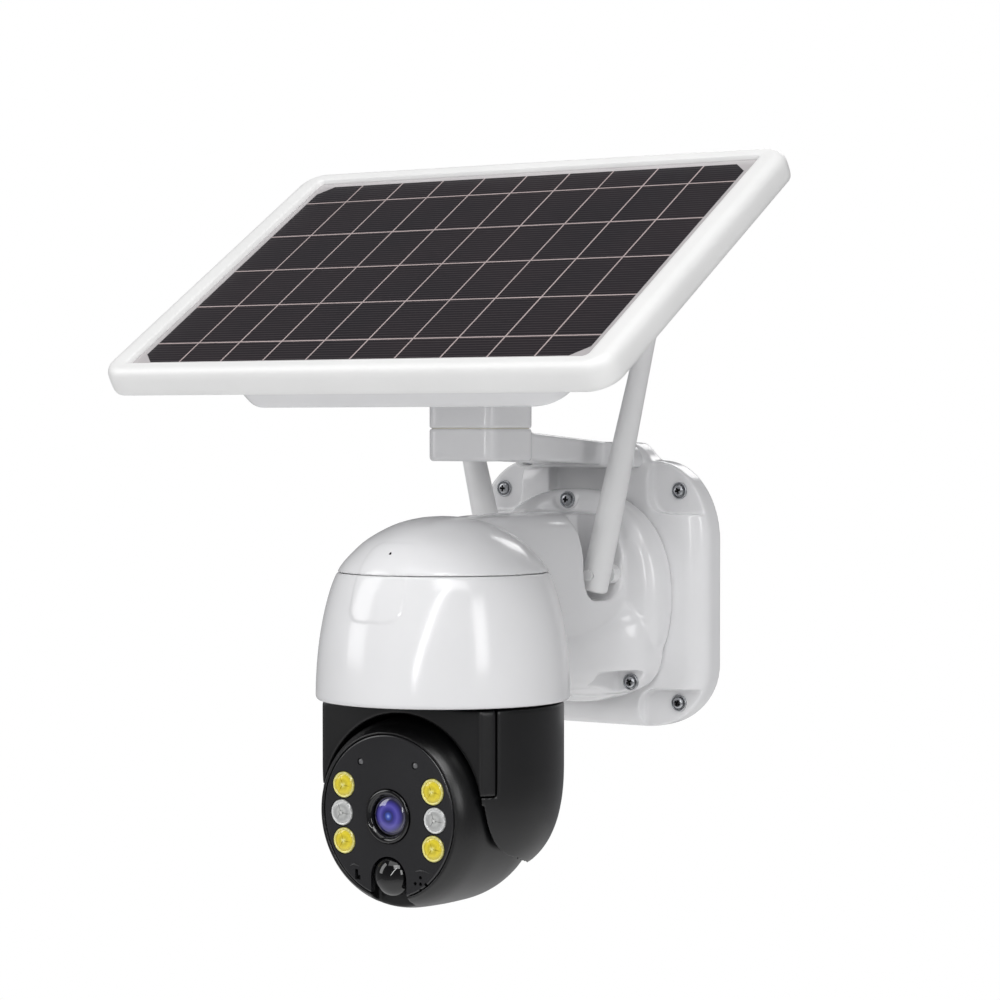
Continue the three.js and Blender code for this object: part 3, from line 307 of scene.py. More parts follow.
def boolean(body, others, operation):
    """Joins other bodies to a body, or cuts them out of it, and removes them."""
    for other in others:
        step = body.modifiers.new("step", "BOOLEAN")
        step.operation = operation
        step.solver = "MANIFOLD"
        step.object = other
        bpy.context.view_layer.update()
        settle(body)
        bpy.data.objects.remove(other)
        if not body.data.polygons:
            raise RuntimeError(f"{body.name} lost its mesh in a {operation.lower()} step")
    return body


def skin(body, voxel, rounds):
    """Gives a body an even mesh, then softens its edges as a mould does."""
    even = body.modifiers.new("even", "REMESH")
    even.mode = "VOXEL"
    even.voxel_size = voxel
    if rounds:
        soften = body.modifiers.new("soften", "SMOOTH")
        soften.factor = 0.5
        soften.iterations = rounds
    return settle(body)


def finish_piece(body, body_name, slot, replaced=(), smooth_angle=40, more_looks=()):
    """Shades a piece, gives it its slot's material and any more, and ties it to the frame."""
    body.data.materials.clear()
    for look in (SLOT_LOOKS[slot], *more_looks):
        body.data.materials.append(bpy.data.materials[look])
    for face in body.data.polygons:
        face.use_smooth = True
    if smooth_angle < 180:
        body.data.set_sharp_from_angle(angle=math.radians(smooth_angle))
    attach(body, body_name)
    if replaced:
        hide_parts(*replaced)
    return body


# ---------------------------------------------------------------- materials

SLOT_LOOKS = {
    "white_abs": "gloss moulded ABS, white",
    "antenna_white": "moulded TPE sleeve, white",
    "panel_frame_white": "satin moulded ABS, off-white",
    "solar_glass": "monocrystalline silicon behind glass",
    "yoke_black": "fine-grain moulded ABS, black",
    "head_black": "fine-grain moulded ABS, black",
    "face_black": "smoked polycarbonate",
    "gloss_black": "polished polycarbonate, black",
    "lens_glass": "multi-coated glass",
    "led_yellow": "phosphor under clear silicone",
    "led_clear": "clear acrylic over a silvered cup",
    "screw_steel": "zinc-plated steel",
    "motor_can": "zinc-plated steel",
    "nylon": "machined nylon, natural",
    "circuit_board": "epoxy board, green solder mask",
    "cell_wrap": "PVC shrink sleeve, blue",
    "sensor_grey": "grey acrylic window",
}


def put(node, settings):
    """Sets a node's properties and its inputs' constants."""
    for key, value in settings.items():
        if isinstance(key, str) and hasattr(node, key):
            setattr(node, key, value)
        else:
            node.inputs[key].default_value = value


def add(tree, kind, settings=None, links=None):
    """Adds a node, sets its properties and inputs, and links its inputs to other nodes' sockets."""
    node = tree.nodes.new(kind)
    put(node, settings or {})
    for key, socket in (links or {}).items():
        tree.links.new(socket, node.inputs[key])
    return node


def material_base(name):
    """An empty material: its node tree, shader and object coordinates."""
    material = bpy.data.materials.new(name)
    material.use_nodes = True
    tree = material.node_tree
    tree.nodes.clear()
    shader = add(tree, "ShaderNodeBsdfPrincipled")
    add(tree, "ShaderNodeOutputMaterial", links={"Surface": shader.outputs[0]})
    place = add(tree, "ShaderNodeTexCoord").outputs["Object"]
    return material, tree, shader, place


def ramp(tree, factor, stops):
    """A colour ramp between two or more [position, colour] stops."""
    node = add(tree, "ShaderNodeValToRGB", links={"Fac": factor})
    while len(node.color_ramp.elements) < len(stops):
        node.color_ramp.elements.new(0.5)
    for element, (position, colour) in zip(node.color_ramp.elements, stops):
        element.position = position
        element.color = colour
    return node.outputs["Color"]


def shade(colour, factor):
    """The same colour, darker or lighter by a factor."""
    return [min(channel * factor, 1.0) for channel in colour[:3]] + [1.0]


def moulded(name, colour, roughness, grain, height, spread=0.05, clouds=38.0, ior=1.53):
    """An injection-moulded plastic: faint cloudy tone, uneven gloss and a fine grain, sizes in millimetres."""
    material, tree, shader, place = material_base(name)
    cloud = add(tree, "ShaderNodeTexNoise", {"Scale": 1 / (clouds * MM), "Detail": 3.0}, {"Vector": place})
    tone = ramp(tree, cloud.outputs[0], [(0.3, shade(colour, 1 - spread)), (0.7, shade(colour, 1 + spread))])
    tree.links.new(tone, shader.inputs["Base Color"])
    wear = add(tree, "ShaderNodeMapRange", {"To Min": roughness * 0.85, "To Max": roughness * 1.2},
               {"Value": cloud.outputs[0]})
    tree.links.new(wear.outputs[0], shader.inputs["Roughness"])
    fine = add(tree, "ShaderNodeTexNoise", {"Scale": 1 / (grain * MM), "Detail": 2.0}, {"Vector": place})
    bump = add(tree, "ShaderNodeBump", {"Strength": 1.0, "Distance": height * MM}, {"Height": fine.outputs[0]})
    tree.links.new(bump.outputs[0], shader.inputs["Normal"])
    shader.inputs["IOR"].default_value = ior
    return material


def gloss_white(colour):
    # ABS from a polished mould: a clear, slightly wavy gloss over an even cool white
    return moulded("gloss moulded ABS, white", colour, 0.15, 9.0, 0.006, 0.015)


def satin_white(colour):
    # ABS from a lightly blasted mould: broad, soft highlights
    return moulded("satin moulded ABS, off-white", colour, 0.38, 1.4, 0.004, 0.02)


def sleeve_white(colour):
    # TPE sleeve drawn over the aerial: soft sheen, no sharp reflections
    return moulded("moulded TPE sleeve, white", colour, 0.42, 1.2, 0.004, 0.02)


def satin_black(colour):
    # ABS, spark-eroded mould: fine even grain that spreads the highlights
    return moulded("fine-grain moulded ABS, black", colour, 0.33, 0.9, 0.012, 0.2)


def face_black(colour):
    # dark polycarbonate with a fine matt film over it
    return moulded("smoked polycarbonate", colour, 0.24, 0.8, 0.003, 0.12, ior=1.58)


def polished_black():
    # polished black polycarbonate: nearly a black mirror
    return moulded("polished polycarbonate, black", linear("060607"), 0.06, 6.0, 0.001, 0.2, ior=1.58)


def natural_nylon():
    # cut nylon gears: milky, with a waxy surface
    return moulded("machined nylon, natural", linear("D9D4C2"), 0.5, 0.6, 0.01, 0.05)


def solder_mask():
    # epoxy glass board under green solder mask
    return moulded("epoxy board, green solder mask", linear("1D5635"), 0.4, 0.5, 0.01, 0.15, 6.0)


def shrink_wrap():
    # PVC sleeve shrunk on a steel can
    return moulded("PVC shrink sleeve, blue", linear("2C6AA6"), 0.3, 3.0, 0.01, 0.06)


def grey_window():
    # moulded acrylic with a grey dye: clear gloss over an even grey
    return moulded("grey acrylic window", linear("6A6A6C"), 0.15, 1.0, 0.004, 0.1)


def bright_steel():
    # zinc-plated steel, turned and tumbled: bright with fine circular marks
    material, tree, shader, place = material_base("zinc-plated steel")
    marks = add(tree, "ShaderNodeTexNoise", {"Scale": 1 / (0.5 * MM), "Detail": 4.0}, {"Vector": place})
    tone = ramp(tree, marks.outputs[0], [(0.3, linear("8E9094")), (0.7, linear("C9CBCE"))])
    tree.links.new(tone, shader.inputs["Base Color"])
    bump = add(tree, "ShaderNodeBump", {"Strength": 1.0, "Distance": 0.01 * MM}, {"Height": marks.outputs[0]})
    tree.links.new(bump.outputs[0], shader.inputs["Normal"])
    put(shader, {"Metallic": 1.0, "Roughness": 0.28})
    return material


def painted_recess_shade():
    # painted shade for the unlit recess of a cross slot or a hole: matt, almost black where no light reaches
    return moulded("painted shade in screw recesses", linear("1A1A1B"), 0.55, 0.5, 0.01, 0.3)


def coated_lens(colour):
    # multi-coated glass: a pale blue dot at the middle that is a painted highlight, then blue, violet towards the
    # rim, nearly black outside, and a pale grey edge that is a painted highlight
    material, tree, shader, place = material_base("multi-coated glass")
    centre = add(tree, "ShaderNodeVectorMath", {"operation": "MULTIPLY", 1: (1.0, 0.0, 1.0)}, {0: place})
    distance = add(tree, "ShaderNodeVectorMath", {"operation": "LENGTH"}, {0: centre.outputs[0]})
    share = add(tree, "ShaderNodeMapRange", {"From Max": 9.0 * MM}, {"Value": distance.outputs["Value"]})
    tone = ramp(tree, share.outputs[0], [
        # the first stop, pale blue, is a painted highlight at the lens's middle
        (0.0, linear("8FA6E6")), (0.12, linear("3450B4")), (0.25, linear("1B2068")), (0.38, shade(colour, 0.7)),
        # the last stop, pale grey, is a painted highlight round the glass's edge
        (0.55, linear("5750AE")), (0.7, linear("3A3390")), (0.86, linear("1E1A4E")), (1.0, linear("8C8A9C")),
    ])
    tree.links.new(tone, shader.inputs["Base Color"])
    put(shader, {"Roughness": 0.08, "Coat Weight": 1.0, "Coat Roughness": 0.03, "IOR": 1.6})
    return material


LAMP_RADIUS = 6.15


def lamp_look(name, stops):
    """A clear-capped lamp: rings of tone from its chip to its rim, with speckle in the cap."""
    material, tree, shader, place = material_base(name)
    flat = add(tree, "ShaderNodeVectorMath", {"operation": "MULTIPLY", 1: (1.0, 1.0, 0.0)}, {0: place})
    distance = add(tree, "ShaderNodeVectorMath", {"operation": "LENGTH"}, {0: flat.outputs[0]})
    speckle = add(tree, "ShaderNodeTexNoise", {"Scale": 1 / (0.9 * MM), "Detail": 3.0}, {"Vector": place})
    shift = add(tree, "ShaderNodeMapRange", {"To Min": -0.9 * MM, "To Max": 0.9 * MM},
                {"Value": speckle.outputs[0]})
    radius = add(tree, "ShaderNodeMath", {"operation": "ADD"}, {0: distance.outputs["Value"], 1: shift.outputs[0]})
    share = add(tree, "ShaderNodeMapRange", {"From Max": LAMP_RADIUS * MM}, {"Value": radius.outputs[0]})
    tree.links.new(ramp(tree, share.outputs[0], stops), shader.inputs["Base Color"])
    bump = add(tree, "ShaderNodeBump", {"Strength": 1.0, "Distance": 0.05 * MM}, {"Height": speckle.outputs[0]})
    tree.links.new(bump.outputs[0], shader.inputs["Normal"])
    put(shader, {"Roughness": 0.25, "Coat Weight": 1.0, "Coat Roughness": 0.06})
    return material


def phosphor(colour):
    # yellow phosphor under a clear silicone cap: pale at the chip, deep yellow in the cup, pale again at the rim
    return lamp_look("phosphor under clear silicone", [
        (0.0, linear("F1ECA0")), (0.16, linear("E6DB5E")), (0.3, shade(colour, 0.74)), (0.55, list(colour)),
        (0.76, shade(colour, 0.8)), (0.88, linear("EEE88E")), (1.0, linear("A39B4C")),
    ])


def clear_lamp():
    # clear acrylic over a bare silvered cup: grey chip, bright facets, darker rim
    return lamp_look("clear acrylic over a silvered cup", [
        (0.0, linear("E6E6E4")), (0.16, linear("A2A3A1")), (0.3, linear("C0C1BF")), (0.55, linear("A6A7A6")),
        (0.76, linear("BDBEBD")), (0.88, linear("E0E1E0")), (1.0, linear("7E7F7E")),
    ])


def silicon(colour):
    # textured monocrystalline silicon behind glass: dark, with fine printed silver fingers 2.1 mm apart
    material, tree, shader, place = material_base("monocrystalline silicon behind glass")
    cloud = add(tree, "ShaderNodeTexNoise", {"Scale": 1 / (60 * MM), "Detail": 2.0}, {"Vector": place})
    tone = ramp(tree, cloud.outputs[0], [(0.3, colour), (0.7, linear("181116"))])
    split = add(tree, "ShaderNodeSeparateXYZ", links={0: place})
    across = add(tree, "ShaderNodeMath", {"operation": "PINGPONG", 1: 1.05 * MM}, {0: split.outputs["Y"]})
    thin = add(tree, "ShaderNodeMapRange", {"From Min": 0.0, "From Max": 0.3 * MM, "To Min": 1.0, "To Max": 0.0},
               {"Value": across.outputs[0]})
    faint = add(tree, "ShaderNodeMath", {"operation": "MULTIPLY", 1: 0.22}, {0: thin.outputs[0]})
    fingers = add(tree, "ShaderNodeMix", {"data_type": "RGBA"}, {0: faint.outputs[0], 6: tone})
    fingers.inputs[7].default_value = linear("A79A9E")
    tree.links.new(fingers.outputs[2], shader.inputs["Base Color"])
    glass_over(shader)
    return material


def glass_over(shader):
    """Gives a shader the low-glare glass that covers the panel."""
    put(shader, {"Roughness": 0.4, "Specular IOR Level": 0.2})
    put(shader, {"Coat Weight": 0.6, "Coat Roughness": 0.06, "Coat IOR": 1.5})


def under_glass(*look):
    """A plain surface seen through the panel's glass."""
    material = moulded(*look)
    glass_over(next(node for node in material.node_tree.nodes if node.type == "BSDF_PRINCIPLED"))
    return material


def backsheet():
    # white polymer sheet behind the cells, seen through the glass
    return under_glass("polymer backsheet behind glass", linear("B9B5B6"), 0.4, 2.0, 0.001, 0.04)


def ribbon():
    # tinned copper ribbon behind glass: thin, pale and slightly warm
    return under_glass("tinned copper ribbon behind glass", linear("B8A9A8"), 0.35, 1.0, 0.002, 0.08)


# ---------------------------------------------------------------- wall plate and fasteners

PLATE_FRONT = reach("base_plate", 1)[0]
PLATE_LOW, PLATE_HIGH = reach("base_plate", 2)
PLATE_HALF = reach("base_plate", 0)[1]
PLATE_SHOULDER = -9.5                               # where the edge begins to curve inwards
POCKET_FLOOR = -12.0


def plate_outline():
    """The wall plate's outline in X and Z, counter-clockwise from the middle of its foot."""
    half = [(0.0, PLATE_LOW)]
    turn_x, turn_z = 37.0, 32.0
    for step in range(25):
        angle = math.pi / 2 * (step / 24 - 1)
        half.append((PLATE_HALF - turn_x + turn_x * math.cos(angle), PLATE_LOW + turn_z + turn_z * math.sin(angle)))
    shoulder = PLATE_HIGH - 9
    half += [(38 + (PLATE_HALF - 38) * c, shoulder - 40 + 40 * s) for c, s in quarter_turn(24)]
    for step in range(1, 13):
        t = step / 12
        a, b = (1 - t) ** 3, 3 * t * (1 - t) ** 2
        c, d = 3 * t * t * (1 - t), t ** 3
        x = a * 38 + b * 33 + c * 31 + d * 24
        half.append((x, (a + b) * shoulder + (c + d) * PLATE_HIGH))
    whole = half + [(-x, z) for x, z in reversed(half[1:])]
    even = []
    for (x0, z0), (x1, z1) in zip(whole, whole[1:] + whole[:1]):
        parts = max(1, round(math.hypot(x1 - x0, z1 - z0) / 4))
        even += [(x0 + (x1 - x0) * i / parts, z0 + (z1 - z0) * i / parts) for i in range(parts)]
    return even


def frontal_rings(outline, rows):
    """Rings of an X-Z outline at [inset, y] rows."""
    return [[(x, y, z) for x, z in inset(outline, distance)] for distance, y in rows]


class SOLARCAM_OT_wall_plate(bpy.types.Operator):
    """Builds the wall plate: a domed dish with screw pockets in front and ribs behind"""

    bl_idname = "solarcam.wall_plate"
    bl_label = "Wall plate"

    def execute(self, context):
        casing = context.scene.solarcam_casing
        edge = casing.edge / MM
        rows = [(0.8, 0.0), (0.0, -0.8), (0.0, PLATE_SHOULDER)]
        rise = PLATE_FRONT - PLATE_SHOULDER
        rows += [(edge * (1 - c), PLATE_SHOULDER + rise * s) for c, s in quarter_turn(10, 1)]
        plate = body_of_rings("wall_plate", frontal_rings(plate_outline(), rows))
        cutters = [self.pocket(sx, sz) for sx in (-1, 1) for sz in (-1, 1)]
        cutters.append(brick("channel", (-20.5, PLATE_FRONT - 4, 52), (20.5, PLATE_FRONT + 8, 65)))
        cutters += self.cells()
        for i in range(1, 5):
            x, _, z = middle(f"plate_screw_{i}")
            cutters.append(cylinder("hole", 4.7, -30, 11.6, facing(x, 0, z)))
        boolean(plate, cutters, "DIFFERENCE")
        skin(plate, casing.voxel, 5)
        finish_piece(plate, "housing", "white_abs", ["base_plate"], 180)
        return {"FINISHED"}

    def pocket(self, side_x, side_z):
        x = 33.0 if side_z < 0 else 38.0
        z = 46.0 if side_z < 0 else 41.5
        outline = [(x, z), (90, z), (90, 95), (x, 95)]
        outline = softened(outline, 11, closed=True)
        if side_x * side_z < 0:
            outline = outline[::-1]
        outline = [(px * side_x, pz * side_z) for px, pz in outline]
        return prism("pocket", outline, POCKET_FLOOR, PLATE_FRONT - 5)

    def cells(self):
        spans = [(-31.5, -1.5), (1.5, 31.5)]
        tall = spans + [(34.5, 44.0), (-44.0, -34.5)]
        cutters = []
        for x0, x1 in spans + [(34.5, 62.0), (-62.0, -34.5)]:
            for z0, z1 in tall:
                if abs(x0 + x1) > 70 and abs(z0 + z1) > 70:
                    continue
                cutters.append(brick("cell", (x0, PLATE_FRONT + 4, z0), (x1, 5, z1)))
        return cutters


def screw_body(name, head_radius, thickness, bit):
    """A pan-head screw's visible end facing +Z, with a cross recess that is bit wide."""
    head = spun(name, softened([
        (0, -1.5), (head_radius, -1.5), (head_radius, thickness * 0.45), (head_radius * 0.72, thickness),
        (0, thickness),
    ], 0.7), segments=48)
    reach_out = head_radius * 0.52
    cuts = []
    for length, width in ((reach_out, bit), (bit, reach_out)):
        cuts.append(brick("bit", (-length, -width, thickness * 0.25), (length, width, thickness + 1), 0.25))
    return boolean(head, cuts, "DIFFERENCE")


class SOLARCAM_OT_screws(bpy.types.Operator):
    """Builds the visible heads of the plate's, foot's and arm's screws, each in its washer ring"""

    bl_idname = "solarcam.screws"
    bl_label = "Screws"

    def execute(self, context):
        names = [f"plate_screw_{i}" for i in range(1, 5)]
        names += [f"foot_screw_{where}" for where in ("top", "left", "right")]
        names += [f"arm_screw_{where}" for where in ("left", "right")]
        for turn, name in enumerate(names):
            x, _, z = middle(name)
            front = reach(name, 1)[0]
            seat = Matrix.Translation((x * MM, (front + 2.4) * MM, z * MM)) @ FORWARD
            seat = seat @ Matrix.Rotation(0.35 * turn, 4, "Z")
            head = screw_body(f"{name}_head", 3.1, 2.2, 0.55)
            head.matrix_world = seat
            finish_piece(head, "housing", "screw_steel", [name], 30, ["painted shade in screw recesses"])
            # faces inside the cross recess take the painted shade colour
            for face in head.data.polygons:
                level = face.center.z / MM
                inside = math.hypot(face.center.x, face.center.y) / MM < 1.9
                if inside and 0 < level < 2.0:
                    face.material_index = 1
            section = softened([(3.4, -0.4), (4.3, -0.4), (4.3, 0.7), (3.9, 1.1), (3.4, 0.7)], 0.3, closed=True)
            finish_piece(spun(f"{name}_ring", section, seat, 48, ring=True), "housing", "screw_steel")
        return {"FINISHED"}


# ---------------------------------------------------------------- dome, neck and foot

RIM, SEAM = reach("dome_skirt", 2)
FOOT_POCKET = (-33.3, -60)                          # floor and mouth of the foot's screw pockets
SHIELD_HALF = 14.2
SHIELD_DEPTHS = (DOME_Y - 80, DOME_Y - 30)
CAP_PROFILE = [(50.3, 16.4), (47.9, 20.2), (43.3, 25.3), (37.0, 31.0), (28.8, 36.0), (20.6, 39.6), (10.5, 42.0),
               (0, 42.8)]
SKIRT_PROFILE = [(50.4, 16.2), (53.0, 9.8), (55.4, 1.6), (57.4, -7.5), (58.9, -17.0), (59.9, -27.0), (60.4, -36.0)]
NECK_ROWS = [
    # y, half-width, top, bottom, squareness
    (-19.6, 41.0, 42.5, -52.0, 4.2),
    (-38.0, 36.0, 42.5, -50.0, 4.2),
    (-62.0, 34.0, 42.5, -47.5, 4.2),
    (-82.0, 33.5, 42.5, -46.5, 3.8),
    (-100.0, 31.0, 42.5, -40.0, 3.2),
    (-114.0, 26.0, 42.3, -10.0, 2.8),
    (-130.0, 17.0, 41.5, 18.0, 2.4),
]
FLANK_ROWS = [
    # y, half-width, top, bottom: the lower flank that swells towards the foot
    (-22.0, 50.0, 6.0, -50.5),
    (-36.0, 47.5, 3.0, -49.5),
    (-48.0, 40.0, -3.0, -47.5),
    (-64.0, 36.5, -7.0, -46.5),
    (-84.0, 36.0, -10.0, -45.5),
    (-102.0, 35.0, -14.0, -42.0),
]


def oval_rings(rows, steps=6):
    rings = []
    for row in smooth_rows(rows, steps):
        y, half_width, top, bottom = row[:4]
        squareness = row[4] if len(row) > 4 else 3.0
        centre = (0.0, (top + bottom) / 2)
        outline = superellipse(half_width, (top - bottom) / 2, squareness, centre)
        rings.append([(x, y, z) for x, z in outline])
    return rings


def front_patch(low, high, offset, profile):
    """The raised shield on the dome's front, between two heights."""
    grown = [(radius + offset if radius else 0.0, height + (0 if radius else offset)) for radius, height in profile]
    grown = [(0.0, grown[0][1])] + grown
    patch = spun("patch", grown, DOME_FRAME, 128)
    outline = softened([(-SHIELD_HALF, low), (SHIELD_HALF, low), (13.2, high), (-13.2, high)], 6.5, closed=True)
    return boolean(patch, [prism("prism", outline, *SHIELD_DEPTHS)], "INTERSECT")


class SOLARCAM_OT_neck(bpy.types.Operator):
    """Builds the neck housing: dome cap, neck and foot in one moulding, with the antennas' notches"""

    bl_idname = "solarcam.neck"
    bl_label = "Neck housing"

    def execute(self, context):
        casing = context.scene.solarcam_casing
        cap_points = [tuple(p) for p in smooth_rows(CAP_PROFILE, 6)]
        cap_profile = [(0, 10.0), (46.0, 10.0), (47.5, SEAM + 0.3)] + cap_points
        cap = spun("neck_housing_shell", cap_profile, DOME_FRAME, 160)
        neck = body_of_rings("neck", oval_rings(NECK_ROWS))
        flank = body_of_rings("flank", oval_rings(FLANK_ROWS))
        foot_rows = [(0.0, -19.5), (0.0, -26.5)]
        foot_rows += [(8.5 * (1 - c), -26.5 - 9.5 * s) for c, s in quarter_turn(8, 1)]
        foot_rows.append((16.0, -36.6))
        foot_outline = superellipse(53.5, 54.0, 2.25, count=160)
        foot = body_of_rings("foot", frontal_rings(foot_outline, foot_rows))
        shell = boolean(neck, [flank, foot], "UNION")
        clearance = [(0.0, RIM - 8.0)] + [(60.9, RIM - 8.0), (60.9, -36.0)]
        clearance += [(radius + 0.6, height) for radius, height in reversed(SKIRT_PROFILE)] + [(0.0, SEAM + 0.15)]
        boolean(shell, [spun("skirt_room", clearance, DOME_FRAME, 160)], "DIFFERENCE")
        boolean(shell, self.notches() + self.pockets(), "DIFFERENCE")
        boolean(cap, [shell], "UNION")
        boolean(cap, [front_patch(SEAM - 2.0, 31.0, 0.35, cap_points)], "UNION")
        skin(cap, casing.voxel, 12)
        finish_piece(cap, "housing", "white_abs", ["neck_housing"], 180)
        self.slit()
        return {"FINISHED"}

    def notches(self):
        cutters = []
        for side in (-1, 1):
            low, high = sorted((side * 18.0, side * 80.0))
            cutters.append(brick("notch", (low, -69.5, -0.5), (high, -38.5, 70.0), 12.0, 11.0))
        return cutters

    def pockets(self):
        cutters = []
        for where in ("left", "right"):
            x, _, z = middle(f"foot_screw_{where}")
            corners = [(x - 8.2, z - 12), (x + 8.2, z - 12), (x + 8.2, z + 6.2), (x - 8.2, z + 6.2)]
            outline = softened(corners, 2.5, closed=True)
            cutters.append(prism("pocket", outline, *FOOT_POCKET))
        x, _, z = middle("foot_screw_top")
        outline = superellipse(7.5, 6.2, 2.0, (x, z + 0.8), 48)
        cutters.append(prism("pocket", outline, *FOOT_POCKET))
        return cutters

    def slit(self):
        """A small dark status window high on the cap's front."""
        angle = math.radians(35)
        place = Matrix.Translation((0.3 * MM, -183.4 * MM, 25.2 * MM)) @ Matrix.Rotation(angle, 4, "X") @ FORWARD
        outline = superellipse(0.7, 1.6, 2.4, count=32)
        window = slab("status_window", outline, -1.0, 0.25, 0.2, place)
        finish_piece(window, "housing", "gloss_black")


class SOLARCAM_OT_skirt(bpy.types.Operator):
    """Builds the dome's lower shell with its raised shield"""

    bl_idname = "solarcam.skirt"
    bl_label = "Dome skirt"

    def execute(self, context):
        outer = [tuple(p) for p in smooth_rows(SKIRT_PROFILE, 6)]
        lip = softened([outer[-1], (60.5, -42.6), (59.4, RIM), (57.6, RIM), (56.6, -40.0)], 1.2)
        inside = [(radius - 2.6, height) for radius, height in reversed(outer[:-1])]
        profile = softened([(48.0, SEAM), (50.1, SEAM), outer[1]], 0.3)[:-1] + outer[1:] + lip[1:] + inside
        skirt = spun("dome_skirt_shell", profile, DOME_FRAME, 192, ring=True)
        grown = [(0.0, outer[-1][1])] + outer[::-1] + [(0.0, outer[0][1])]
        shield = [(radius + (0.45 if radius else 0), height) for radius, height in grown]
        patch = spun("patch", shield, DOME_FRAME, 192)
        hollow = cylinder("hollow", 49.5, -60, 60, DOME_FRAME, 96)
        boolean(patch, [hollow], "DIFFERENCE")
        corners = [(-SHIELD_HALF, -4.4), (SHIELD_HALF, -4.4), (SHIELD_HALF, 40), (-SHIELD_HALF, 40)]
        boolean(patch, [prism("prism", softened(corners, 6.5, closed=True), *SHIELD_DEPTHS)], "INTERSECT")
        boolean(skirt, [patch], "UNION")
        skin(skirt, 0.75 * MM, 4)
        finish_piece(skirt, "housing", "white_abs", ["dome_skirt"], 180)
        return {"FINISHED"}


# ---------------------------------------------------------------- yoke

YOKE_TOP = reach("yoke_body", 2)[1]
YOKE_PROFILE = [(57.3, -76.0), (57.0, -84.0), (56.0, -92.5), (53.9, -101.5), (50.4, -109.8), (45.8, -116.3),
                (40.6, -120.8), (34.0, -123.6)]
YOKE_RIM = -44.5
YOKE_FRONT = -175.9
YOKE_SEAM = -84.3
SEAM_ANGLE = math.radians(60.6)
HEAD_BALL = 45.6
ARCH = 45.9


def yoke_form():
    """The yoke's outside: a drum with a rounded foot and a flat front, less the head's room."""
    curve = [tuple(p) for p in smooth_rows(YOKE_PROFILE, 5)]
    profile = [(0, YOKE_RIM), (56.2, YOKE_RIM), (57.3, YOKE_RIM - 1.1)] + curve + [(0, curve[-1][1])]
    form = spun("form", profile, DOME_FRAME, 160)
    front = brick("front", (-90, YOKE_FRONT - 60, -150), (90, YOKE_FRONT, -20))
    room = [spun("ball", ball_profile(HEAD_BALL + 0.7, 32), Matrix.Translation(TILT_AXIS), 96)]
    for tilt in range(0, 61, 10):
        turned = Matrix.Translation(TILT_AXIS) @ Matrix.Rotation(math.radians(tilt), 4, "X") @ FORWARD
        room.append(cylinder("tunnel", ARCH, 0, 80, turned, 96))
    return boolean(form, [front] + room, "DIFFERENCE")


def ball_profile(radius, steps):
    angles = [math.pi * i / steps for i in range(steps + 1)]
    return [(radius * math.sin(angle), radius * math.cos(angle)) for angle in angles]


def seam_wedge(extra):
    """The part of the yoke's front that its cover takes, grown all round by extra."""
    x, y = math.sin(SEAM_ANGLE), math.cos(SEAM_ANGLE)
    outline = [(0, 0), (-110 * x, -110 * y), (-110, -110), (110, -110), (110 * x, -110 * y)]
    place = Matrix.Translation((0, DOME_AXIS.y + 2 * extra * MM, 0))
    low = YOKE_SEAM - extra
    wedge = body_of_rings("wedge", [[(px, py, z) for px, py in outline] for z in (low, -20)], place)
    core = cylinder("core", 30 - extra, -150, 0, DOME_FRAME, 96)
    return boolean(wedge, [core], "DIFFERENCE")


class SOLARCAM_OT_yoke(bpy.types.Operator):
    """Builds the black yoke that turns under the dome, with its separate front cover"""

    bl_idname = "solarcam.yoke"
    bl_label = "Yoke"

    def execute(self, context):
        head = context.scene.solarcam_head
        shell = yoke_form()
        cover = shell.copy()
        cover.data = shell.data.copy()
        context.scene.collection.objects.link(cover)
        shell.name, cover.name = "yoke_shell", "yoke_front_cover"
        boolean(shell, [seam_wedge(0.35)], "DIFFERENCE")
        steps = [(0, YOKE_RIM - 2), (13, YOKE_RIM - 2), (13, -32.5), (11, -32.5), (11, YOKE_TOP), (0, YOKE_TOP)]
        hub = spun("hub", steps, DOME_FRAME, 64)
        boolean(shell, [hub], "UNION")
        boolean(cover, [seam_wedge(0.0)], "INTERSECT")
        for body, node in ((shell, "yoke_body"), (cover, "yoke_front")):
            skin(body, head.voxel, 4 if node == "yoke_body" else 10)
            finish_piece(body, "yoke", "yoke_black", [node], 180)
        return {"FINISHED"}


# ---------------------------------------------------------------- head (built facing -Y, origin on the tilt axis)

FACE = -44.3
FACE_HALF = 38.0
HEAD_ROWS = [(45.6, 0.0), (45.5, 10.0), (45.1, 20.0), (44.3, 31.0), (43.0, 37.0), (41.3, 41.0), (39.4, 43.6),
             (38.9, 44.3)]


def in_head(node):
    """Centre of a head node, in millimetres, in the head's own frame."""
    low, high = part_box(node)
    return HEAD_FRAME.inverted() @ ((low + high) / 2) / MM


def face_outline(distance=0.0, count=144):
    """The egg-shaped face, a little narrower below, as X-Z points."""
    points = []
    for i in range(count):
        angle = 2 * math.pi * i / count
        narrow = 1 - 0.05 * (1 - math.sin(angle)) / 2
        points.append(((FACE_HALF - distance) * math.cos(angle) * narrow, (FACE_HALF - distance) * math.sin(angle)))
    return points


def head_place(x, y, z):
    return HEAD_FRAME @ Matrix.Translation((x * MM, y * MM, z * MM)) @ FORWARD


def peg(radius, low, high, x, z, segments=48):
    """A cutter through the face: round, from y = low to y = high."""
    return cylinder("peg", radius, -high, -low, head_place(x, 0, z), segments)


